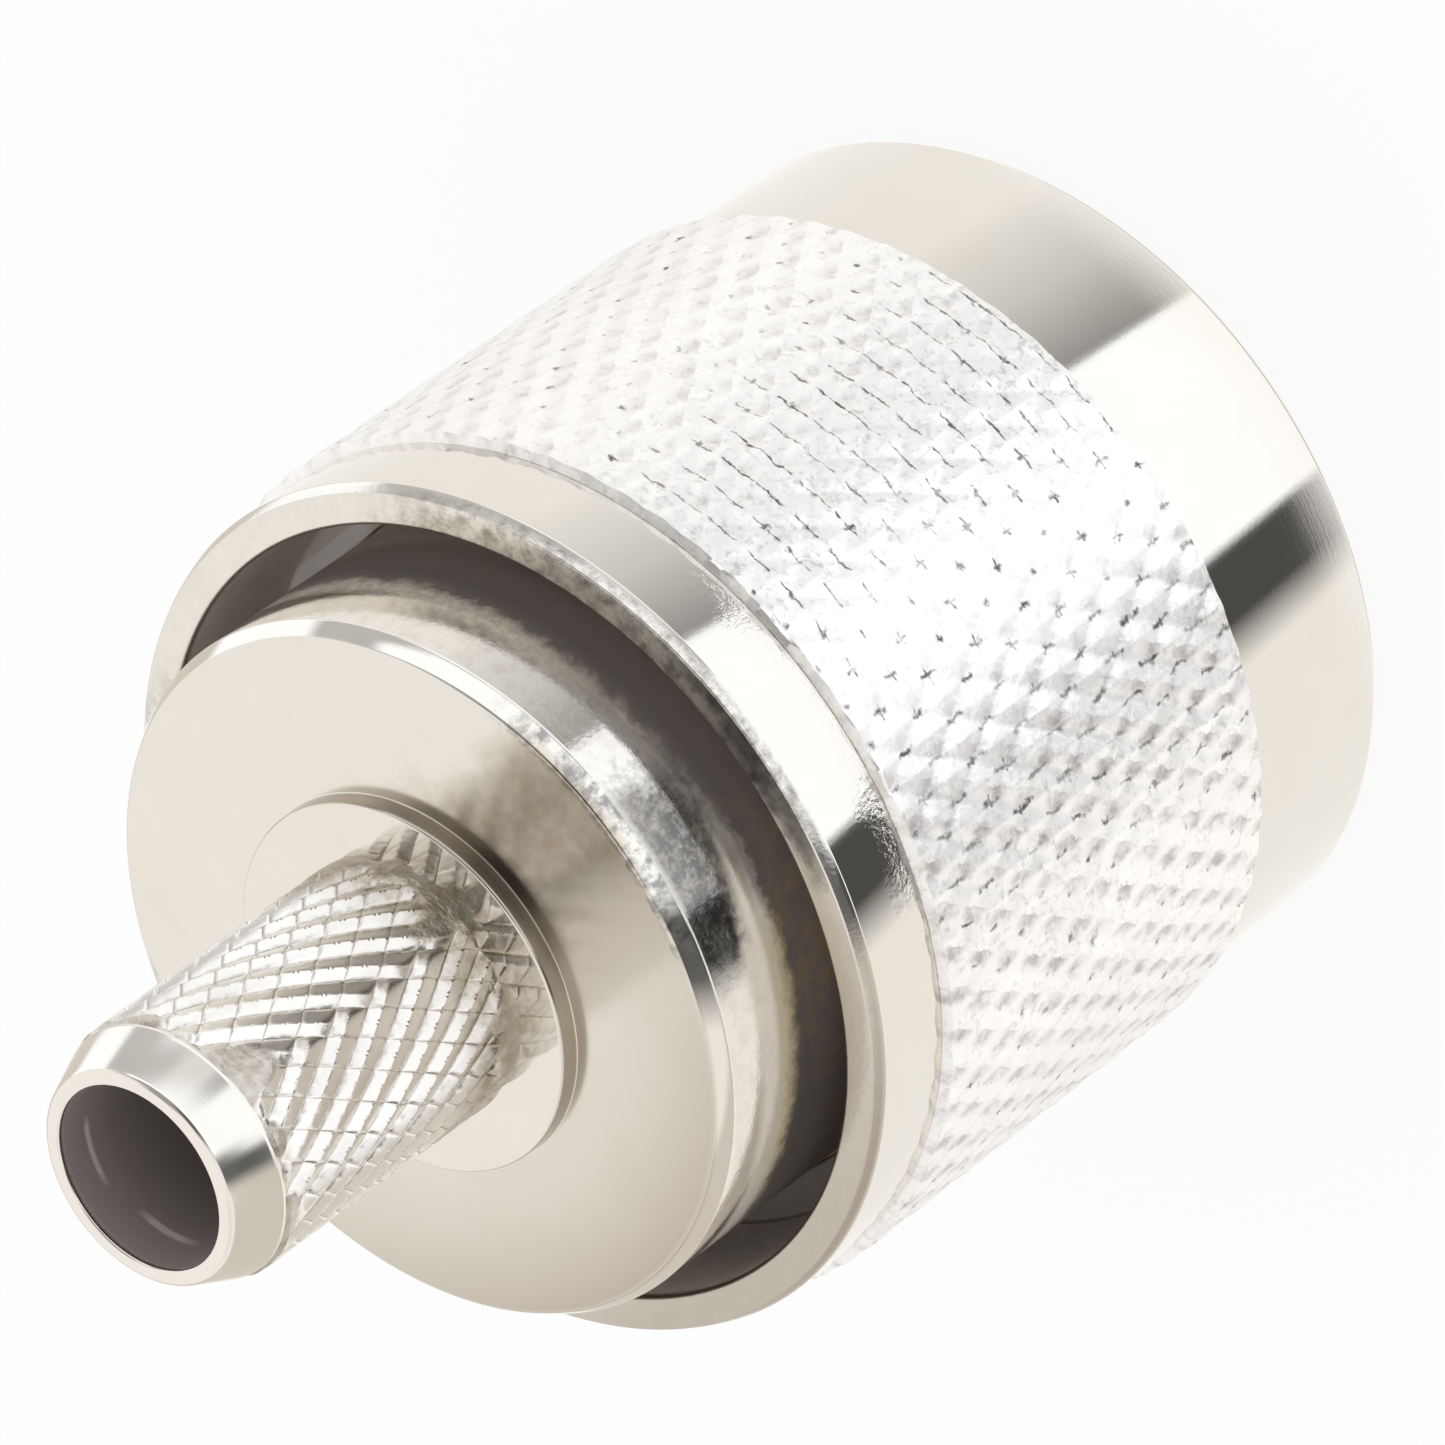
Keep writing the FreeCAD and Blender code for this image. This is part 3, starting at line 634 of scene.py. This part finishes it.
# Materials of the inside pieces
def plain_metal(name, colour, other, rough):
    """Plated or bare metal."""
    material, tree = new_material(name)
    position = object_position(tree)
    stain = noise(tree, position, 600.0, 4.0, 0.6)
    fine = noise(tree, position, 16000.0, 2.0)
    finish_metal(tree, blend_colour(tree, spread(tree, stain, 0.0, 1.0), colour, other),
                 spread(tree, fine, *rough), add_bump(tree, fine, 0.3, 0.005))
    return material


def soft_material(name, colour, other, rough, grain, sheen=0.0):
    """Moulded rubber or turned plastic."""
    material, tree = new_material(name)
    position = object_position(tree)
    stain = noise(tree, position, 500.0, 4.0, 0.6)
    fine = noise(tree, position, grain, 3.0, 0.6)
    finish_surface(tree, {"Base Color": blend_colour(tree, spread(tree, stain, 0.0, 1.0), colour, other),
                          "Sheen Weight": sheen, "Roughness": spread(tree, fine, *rough),
                          "Normal": add_bump(tree, fine, 0.5, 0.01)})
    return material


# Mesh builders, all in millimetres until the mesh is made
ARC_STEP = math.radians(9)
SPARE_ROWS = 40
END_GAP = 0.03
WORN_HALF_ANGLE = 0.28
RIDGE_CREST = 0.12
RIDGE_ROUNDING = 0.12
TOOTH_ROUNDING = 0.08
SKIRT_DEPTH = 0.2
NOISE_CELLS = 512
# Place in the pitch and depth, from crest to root, of each edge of the thread's profile
THREAD_STAGES = ((0.0, 0.0), (0.25, 0.0), (0.40625, 0.5), (0.5625, 1.0), (0.6875, 1.0), (0.84375, 0.5))
THREAD_COLUMNS = 192


def rounded(corners):
    """Closed (radius, height) outline with each corner rounded by its own radius.

    corners: (radius, height, rounding)."""
    outline = []
    count = len(corners)
    for index, (r, z, rounding) in enumerate(corners):
        here = np.array((r, z))
        if rounding <= 0:
            outline.append(tuple(here))
            continue
        before = np.array(corners[index - 1][:2]) - here
        after = np.array(corners[(index + 1) % count][:2]) - here
        before /= np.linalg.norm(before)
        after /= np.linalg.norm(after)
        half = math.acos(np.clip(before @ after, -1, 1)) / 2
        reach = rounding / math.tan(half)
        middle = here + (before + after) / np.linalg.norm(before + after) * rounding / math.sin(half)
        start = here + before * reach - middle
        end = here + after * reach - middle
        sweep = math.atan2(start[0] * end[1] - start[1] * end[0], start @ end)
        steps = max(3, int(abs(sweep) / ARC_STEP))
        for step in range(steps + 1):
            turn = sweep * step / steps
            c, s = math.cos(turn), math.sin(turn)
            outline.append((middle[0] + c * start[0] - s * start[1],
                            middle[1] + s * start[0] + c * start[1]))
    return outline


def lathe(outline, columns):
    """Vertices, faces and groove values of a closed outline turned round Z."""
    rows = len(outline)
    angles = np.arange(columns) * TAU / columns
    r = np.array([p[0] for p in outline])[:, None]
    z = np.array([p[1] for p in outline])[:, None]
    points = np.stack([r * np.cos(angles), r * np.sin(angles), z + 0 * angles], -1).reshape(-1, 3)
    i = np.arange(rows)[:, None]
    k = np.arange(columns)[None, :]
    i2 = (i + 1) % rows
    k2 = (k + 1) % columns
    faces = np.stack([i * columns + k, i * columns + k2, i2 * columns + k2, i2 * columns + k], -1)
    return points, faces.reshape(-1, 4), np.zeros(len(points))


def sheet_of_triangles(r, z, angles, groove, split):
    """Open sheet round Z from grids of radius and height; split picks the diagonal of each cell."""
    rows, columns = r.shape
    points = np.stack([r * np.cos(angles), r * np.sin(angles), z], -1).reshape(-1, 3)
    i = np.arange(rows - 1)[:, None]
    k = np.arange(columns)[None, :]
    k2 = (k + 1) % columns
    a = i * columns + k
    b = i * columns + k2
    c = (i + 1) * columns + k2
    d = (i + 1) * columns + k
    first = np.where(split[..., None], np.stack([a, b, c], -1), np.stack([a, b, d], -1))
    second = np.where(split[..., None], np.stack([a, c, d], -1), np.stack([b, c, d], -1))
    faces = np.concatenate([first.reshape(-1, 3), second.reshape(-1, 3)])
    return points, faces, groove.reshape(-1)


def smooth_step(x):
    x = np.clip(x, 0, 1)
    return x * x * (3 - 2 * x)


def smooth_max(first, second, width):
    """The larger of two, rounded where they meet."""
    return 0.5 * (first + second + np.sqrt((first - second) ** 2 + width ** 2)) - 0.5 * width


def value_noise(x, y, seed, period):
    """Smooth noise from -1 to 1 on a grid, repeating in x after period cells."""
    table = np.random.default_rng(seed).uniform(-1, 1, (NOISE_CELLS, NOISE_CELLS))
    xi = np.floor(x).astype(int)
    yi = np.floor(y).astype(int)
    fx = smooth_step(x - xi)
    fy = smooth_step(y - yi)

    def at(dx, dy):
        return table[(xi + dx) % period, (yi + dy) % NOISE_CELLS]

    low = at(0, 0) * (1 - fx) + at(1, 0) * fx
    high = at(0, 1) * (1 - fx) + at(1, 1) * fx
    return low * (1 - fy) + high * fy


def ridge(place):
    """Distance from a tooth's ridge, from 0 there to 1 at its edges, for a place from -0.5 to 0.5."""
    before = (RIDGE_CREST - place) / (0.5 + RIDGE_CREST)
    after = (place - RIDGE_CREST) / (0.5 - RIDGE_CREST)
    return smooth_max(before, after, RIDGE_ROUNDING)


def tooth_reach(below_top, over_bottom, angles, fade, worn, uneven):
    """How far teeth stand out, from 1 down to 0 where they die out towards the bottom and top."""
    side = WORN_TURN - angles
    off_stripe = np.abs(np.arctan2(np.sin(side), np.cos(side)))
    extra = worn * smooth_step(1 - off_stripe / WORN_HALF_ANGLE)
    reach = np.ones_like(uneven)
    if fade[0]:
        reach = reach * smooth_step(over_bottom / (fade[0] + 0.6 * extra) - 0.5 + uneven)
    if fade[1]:
        reach = reach * smooth_step(below_top / (fade[1] + extra) - 0.5 + uneven)
    return reach


def knurl(teeth, row, zero, bottom, top, tip, turn, steps, drop, groove, ends, ragged, seed,
          fade=(0.0, 0.0), worn=0.0, sided=False):
    """Diamond knurl between two families of helical grooves.

    row: height of half a tooth; zero: height of a row of tips. steps: places of the grid lines in
    each half tooth. drop: from a tooth's tip to its edges. groove: (depth, share of the tooth).
    ends: (length, fall) of a bevel at each end. ragged: depth of uneven wear. fade: how far the
    teeth die out at the bottom and top; worn: how much farther on one worn side. sided: teeth
    pressed to a ridge along one groove, on one side of the part along the one and on the other
    side along the other."""
    columns = 2 * teeth * len(steps)
    ruler = (np.arange(-SPARE_ROWS, 2 * teeth + SPARE_ROWS)[:, None] + np.array(steps)).reshape(-1)
    a_line = ruler[SPARE_ROWS * len(steps):SPARE_ROWS * len(steps) + columns]
    levels = zero + row * ruler
    inside = ruler[(levels > bottom + END_GAP) & (levels < top - END_GAP)]
    b_line = np.concatenate([[(bottom - zero) / row], inside, [(top - zero) / row]])
    a = a_line[None, :] + 0 * b_line[:, None]
    b = b_line[:, None] + 0 * a_line[None, :]
    angles = a_line * TAU / (2 * teeth) + turn
    p = (a + b) / 2
    q = (a - b) / 2
    dp = 2 * np.abs(p - np.round(p))
    dq = 2 * np.abs(q - np.round(q))
    height = zero + row * b
    cut = np.clip((np.maximum(dp, dq) - (1 - groove[1])) / groove[1], 0, 1)
    uneven = value_noise(a * 0.7, b * 0.7, seed + 3, period=2 * teeth * 7 // 10)
    reach = tooth_reach(top - height, height - bottom, angles[None, :], fade, worn, uneven)
    shape = smooth_max(dp, dq, TOOTH_ROUNDING)
    if sided:
        share = smooth_step(0.5 + 4.0 * np.sin(SIDE_TURN - angles))[None, :]
        shape = share * ridge(p - np.round(p)) + (1 - share) * ridge(np.round(q) - q)
    wobble = ragged * np.abs(value_noise(a * 2.0, b * 2.0, seed, period=4 * teeth))
    radius = tip - (drop * shape + groove[0] * cut) * reach - wobble
    chipped = 1 + 0.3 * value_noise(a * 1.5, b * 0.0, seed + 1, period=3 * teeth)
    for (length, fall), distance in zip(ends, (height - bottom, top - height)):
        radius = radius - fall * np.clip(1 - distance / (length * chipped), 0, 1)
    mark = smooth_step((cut - 0.3) / 0.7) * reach - (1 - reach)
    middle_a = (a_line + np.append(a_line[1:], 2 * teeth)) / 2
    middle_b = (b_line[1:] + b_line[:-1]) / 2
    mp = middle_a[None, :] + middle_b[:, None]
    mq = middle_a[None, :] - middle_b[:, None]
    split = np.abs(mp - np.round(mp)) > np.abs(mq - np.round(mq))
    skirt = np.full((1, columns), tip - drop - groove[0] - SKIRT_DEPTH)
    radius = np.vstack([skirt, radius, skirt])
    height, mark, split = [np.vstack([grid[:1], grid, grid[-1:]]) for grid in (height, mark, split)]
    return sheet_of_triangles(radius, height, angles, mark, split)


def thread_sheet(crest, root, pitch, start, end, entry, runout):
    """Right-hand inside thread, cut off by an entry bevel and a run-out bevel.

    entry and runout: (radius, height) of a point on each 45 degree bevel."""
    columns = THREAD_COLUMNS
    stages, levels = np.array(THREAD_STAGES).T
    stage_count = len(stages)
    turns = int((end - start) / pitch) + 3
    phase = np.concatenate([stages + turn for turn in range(-1, turns)])
    depth = np.tile(levels, turns + 1)
    angles = np.arange(columns) * TAU / columns
    z = np.clip(start + pitch * (phase[:, None] + angles[None, :] / TAU), start, end)
    r = crest + (root - crest) * depth[:, None] + 0 * angles
    r = np.maximum(r, entry[0] - (z - entry[1]))
    r = np.maximum(r, runout[0] + (z - runout[1]))
    points = np.stack([r * np.cos(angles), r * np.sin(angles), z], -1).reshape(-1, 3)
    faces = []
    for k in range(columns):
        # Past the last column the helix goes on one pitch higher
        k2 = (k + 1) % columns
        climb = stage_count if k == columns - 1 else 0
        for i in range(len(phase) - 1 - stage_count):
            i2 = i + climb
            a, b = i * columns + k, i2 * columns + k2
            c, d = (i2 + 1) * columns + k2, (i + 1) * columns + k
            faces.append((a, d, c, b))
    return points, np.array(faces), np.zeros(len(points))


def make_piece(name, parts, sharp_degrees):
    """One object from several ((points, faces, groove), material) parts."""
    offset = 0
    points = []
    faces = []
    groove = []
    places = []
    materials = []
    for (part_points, part_faces, part_groove), material in parts:
        if material not in materials:
            materials.append(material)
        points.append(part_points)
        faces += (part_faces + offset).tolist()
        groove.append(part_groove)
        places += [materials.index(material)] * len(part_faces)
        offset += len(part_points)
    points = np.concatenate(points) * MM
    mesh = bpy.data.meshes.new(name)
    mesh.from_pydata(points.tolist(), [], faces)
    mesh.update()
    mesh.attributes.new("groove", "FLOAT", "POINT").data.foreach_set(
        "value", np.concatenate(groove).astype(np.float32))
    for material in materials:
        mesh.materials.append(material)
    mesh.polygons.foreach_set("material_index", places)
    mesh.shade_smooth()
    mesh.set_sharp_from_angle(angle=math.radians(sharp_degrees))
    piece = bpy.data.objects.new(name, mesh)
    bpy.context.scene.collection.objects.link(piece)
    return piece


# The pieces
def add_coupling_nut():
    groove_radius, groove_front, groove_back = NUT_GROOVE
    outline = rounded([
        (ENTRY_RADIUS, 0.0, 0.05), (FRONT_RADIUS, 0.0, 0.15), (FRONT_RADIUS, KNURL_FRONT, 0.04),
        (BLANK_RADIUS, KNURL_FRONT, 0.0), (BLANK_RADIUS, KNURL_BACK, 0.0), (BAND_RADIUS, KNURL_BACK, 0.03),
        (BAND_RADIUS, REAR_BEVEL_START, 0.08), (REAR_RIM_RADIUS, NUT_LENGTH, 0.05),
        (RECESS_RADIUS, NUT_LENGTH, 0.12), (RECESS_RADIUS, RECESS_FLOOR, 0.1),
        (NUT_LIP_RADIUS, RECESS_FLOOR, 0.05),
        (NUT_LIP_RADIUS, groove_back, 0.0), (groove_radius, groove_back, 0.0),
        (groove_radius, groove_front, 0.0), (NUT_LIP_RADIUS, groove_front, 0.0),
        (NUT_LIP_RADIUS, LIP_BEVEL_END, 0.0), (THREAD_WALL, THREAD_END, 0.0), (THREAD_WALL, 0.2, 0.0),
    ])
    shell = lathe(outline, columns=192)
    teeth = knurl(KNURL_TEETH, KNURL_ROW, KNURL_FIRST_TIPS, KNURL_FRONT, KNURL_BACK, KNURL_TIP, KNURL_TURN,
                  steps=(0.0, 0.06, 0.25, 0.5, 0.75, 0.94), drop=0.055, groove=(0.0, 0.25),
                  ends=((0.1, 0.3), (0.08, 0.26)), ragged=0.02, seed=4)
    thread = thread_sheet(THREAD_CREST, THREAD_ROOT, THREAD_PITCH, THREAD_START, THREAD_END,
                          entry=(ENTRY_RADIUS, 0.0), runout=(THREAD_CREST, THREAD_RUNOUT))
    turned = nickel_nut_material()
    rolled = nut_knurl_material()
    nut = make_piece("coupling_nut_shell", [(shell, turned), (teeth, rolled), (thread, turned)],
                     sharp_degrees=32.0)
    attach(nut, "nut")
    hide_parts("coupling_nut")


def add_connector_body():
    groove_radius, groove_front, groove_back = BODY_GROOVE
    bevel_radius, bevel_end = SHANK_BEVEL
    outline = rounded([
        (SOCKET_RADIUS, SHANK_FRONT, 0.0), (bevel_radius, SHANK_FRONT, 0.0), (SHANK_RADIUS, bevel_end, 0.0),
        (SHANK_RADIUS, groove_front, 0.0), (groove_radius, groove_front, 0.0),
        (groove_radius, groove_back, 0.0), (SHANK_RADIUS, groove_back, 0.0),
        (SHANK_RADIUS, BACK_BEVEL_START, 0.15), (BACK_FACE_RADIUS, BACK_FACE, 0.08),
        (BOSS_RADIUS, BACK_FACE, 0.03), (BOSS_RADIUS, BOSS_TOP, 0.08), (STEM_BLANK, BOSS_TOP, 0.03),
        (STEM_BLANK, STEM_NECK, 0.0), (*CONE_START, 0.25), (CONE_END_RADIUS, STEM_END, 0.16),
        (BORE_RADIUS, STEM_END, 0.06),
        (BORE_RADIUS, BORE_FLOOR, 0.0), (WIRE_WAY_RADIUS, BORE_FLOOR, 0.0),
        (WIRE_WAY_RADIUS, SOCKET_FLOOR, 0.0), (SOCKET_RADIUS, SOCKET_FLOOR, 0.0),
    ])
    shell = lathe(outline, columns=256)
    teeth = knurl(STEM_TEETH, STEM_ROW, STEM_FIRST_TIPS, BOSS_TOP - 0.1, STEM_KNURL_BACK, STEM_TIP,
                  math.radians(1.5), steps=tuple(k / 8 for k in range(8)), drop=0.144,
                  groove=(0.014, 0.13), ends=((0.1, 0.0), (0.2, 0.09)), ragged=0.006, seed=9,
                  fade=(0.3, 0.3), worn=1.6, sided=True)
    rolled = stem_knurl_material()
    body = make_piece("connector_body_shell", [(shell, nickel_body_material()), (teeth, rolled)],
                      sharp_degrees=18.0)
    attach(body, "plug_body")
    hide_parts("connector_body")


def dress_inside_pieces():
    looks = {
        "retaining_ring": plain_metal("bronze", (0.62, 0.42, 0.24), (0.50, 0.33, 0.18), (0.25, 0.4)),
        "outer_contact": plain_metal("white_bronze", (0.72, 0.70, 0.66), (0.62, 0.60, 0.55), (0.16, 0.3)),
        "sealing_gasket": soft_material("silicone", (0.42, 0.035, 0.02), (0.33, 0.02, 0.012), (0.5, 0.65),
                                        grain=9000.0, sheen=0.1),
        "insulator": soft_material("fluoropolymer", (0.84, 0.84, 0.81), (0.76, 0.76, 0.72), (0.35, 0.5),
                                   grain=6000.0),
        "centre_contact": plain_metal("gold", (0.85, 0.60, 0.22), (0.78, 0.53, 0.18), (0.15, 0.28)),
    }
    for node, material in looks.items():
        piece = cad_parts[node]
        if not piece.material_slots:
            piece.data.materials.append(material)
        for slot in piece.material_slots:
            slot.material = material


# Pale floor, in metres
FLOOR_COLUMNS = 96
FLOOR_RADII = (0.0005, 0.05, 0.2, 0.8, 3.0)
FLOOR_PALE = (0.93, 0.93, 0.93)
FLOOR_WHITE = (0.95, 0.95, 0.95)
# How far the floor shows plain white; the rest keeps the object's shadow
FLOOR_WHITENED = 0.85
WHITE = (1.0, 1.0, 1.0, 1.0)


def floor_material():
    material, tree = new_material("floor_white")
    mottle = noise(tree, object_position(tree), 60.0, 2.0)
    diffuse = add_node(tree, "ShaderNodeBsdfDiffuse")
    feed(tree, diffuse, {"Color": blend_colour(tree, mottle, FLOOR_PALE, FLOOR_WHITE)})
    white = add_node(tree, "ShaderNodeEmission")
    feed(tree, white, {"Color": WHITE, "Strength": 1.0})
    seen = is_ray(tree, "Is Camera Ray", "Is Glossy Ray", "Is Transmission Ray")
    output_shader(tree, mix_shaders(tree, times(tree, seen, FLOOR_WHITENED), diffuse, white))
    return material


def add_floor():
    columns = FLOOR_COLUMNS
    points = [(0.0, 0.0, 0.0)]
    for radius in FLOOR_RADII:
        for k in range(columns):
            angle = TAU * k / columns
            points.append((radius * math.cos(angle), radius * math.sin(angle), 0.0))
    faces = [(0, 1 + k, 1 + (k + 1) % columns) for k in range(columns)]
    for ring in range(len(FLOOR_RADII) - 1):
        a = 1 + ring * columns
        b = a + columns
        for k in range(columns):
            k2 = (k + 1) % columns
            faces.append((a + k, b + k, b + k2, a + k2))
    mesh = bpy.data.meshes.new("floor")
    mesh.from_pydata(points, [], faces)
    mesh.materials.append(floor_material())
    floor = bpy.data.objects.new("floor", mesh)
    floor.visible_glossy = False
    bpy.context.scene.collection.objects.link(floor)


# Soft studio: an even white tent, and for reflections a softbox and dark flags beside it
CREAM = (1.02, 1.01, 0.99)
SOFTBOX = (1.27, 1.31, 1.37)
BEIGE = (0.74, 0.70, 0.64)
UNDER = (0.75, 0.74, 0.72)
GLOW = (1.2, 1.2, 1.22)
# Rings of the studio from low to high: where each starts and is full, in degrees over the horizon, and
# its one colour or its (degrees from the camera's side, colour or grey value) stops
STUDIO_RINGS = [
    (-60, -56, GLOW),
    (-49, -45, [(-180, CREAM), (-80, CREAM), (-50, 0.72), (-28.5, 0.36), (-26.5, SOFTBOX), (29.5, SOFTBOX),
                (32.5, 0.085), (48, 0.085), (60, CREAM), (180, CREAM)]),
    (-34, -31, [(-180, BEIGE), (-130, BEIGE), (-100, 1.2), (105, 1.2), (135, BEIGE), (180, BEIGE)]),
    (-23, -20, [(-180, BEIGE), (-140, BEIGE), (-137, SOFTBOX), (-108, SOFTBOX), (-104, 0.62), (-82, 0.7),
                (-70, SOFTBOX), (38, SOFTBOX), (56, BEIGE), (180, BEIGE)]),
    (-6, -3, [(-180, BEIGE), (-140, BEIGE), (-137, SOFTBOX), (-108, SOFTBOX), (-104, 0.62), (-60, 0.6),
              (-50, 0.85), (-32, 0.85), (-26, 0.5), (-18, 0.5), (-14, SOFTBOX), (28, SOFTBOX), (34, 0.08),
              (44, 0.08), (54, BEIGE), (180, BEIGE)]),
    (5, 8, [(-180, CREAM), (-104, CREAM), (-94, 0.6), (-88, 0.6), (-84, SOFTBOX), (20, SOFTBOX), (28, 0.15),
            (46, 0.15), (60, CREAM), (180, CREAM)]),
    (25, 30, [(-180, CREAM), (-110, CREAM), (-80, 0.40), (-46, 0.40), (-30, 0.14), (-20, 0.10), (-6, 0.12),
              (6, 0.30), (20, 0.80), (50, 1.0), (97, 0.92), (130, 0.88), (162, CREAM), (180, CREAM)]),
    (58, 64, [(-180, CREAM), (-155, CREAM), (-125, 0.36), (-5, 0.33), (20, CREAM), (180, CREAM)]),
    (72, 80, CREAM),
]


def studio_sky(tree):
    """Colour of the studio in every direction."""
    parts = add_node(tree, "ShaderNodeSeparateXYZ")
    feed(tree, parts, {0: add_node(tree, "ShaderNodeTexCoord").outputs["Generated"]})
    x, y, z = parts.outputs
    azimuth = math_node(tree, "ARCTAN2", y, times(tree, x, -1.0))
    turn = plus(tree, math_node(tree, "DIVIDE", azimuth, TAU), 0.5)
    rise = times(tree, math_node(tree, "ARCSINE", z), 360.0 / TAU)
    sky = UNDER
    for start, end, ring in STUDIO_RINGS:
        if isinstance(ring, list):
            ring = ramp(tree, turn, [((degrees + 180.0) / 360.0, value) for degrees, value in ring])
        sky = blend_colour(tree, spread(tree, rise, 0.0, 1.0, start, end), sky, ring)
    return sky


def add_studio():
    world = bpy.data.worlds.new("studio")
    bpy.context.scene.world = world
    world.use_nodes = True
    tree = world.node_tree
    tree.nodes.clear()
    even = add_node(tree, "ShaderNodeBackground")
    feed(tree, even, {"Color": WHITE, "Strength": 1.0})
    cards = add_node(tree, "ShaderNodeBackground")
    feed(tree, cards, {"Color": studio_sky(tree), "Strength": 1.0})
    shiny = is_ray(tree, "Is Glossy Ray", "Is Transmission Ray")
    output_shader(tree, mix_shaders(tree, shiny, even, cards), "ShaderNodeOutputWorld")


add_camera()
add_coupling_nut()
add_connector_body()
dress_inside_pieces()
add_floor()
add_studio()
bpy.context.scene.view_settings.view_transform = "Standard"
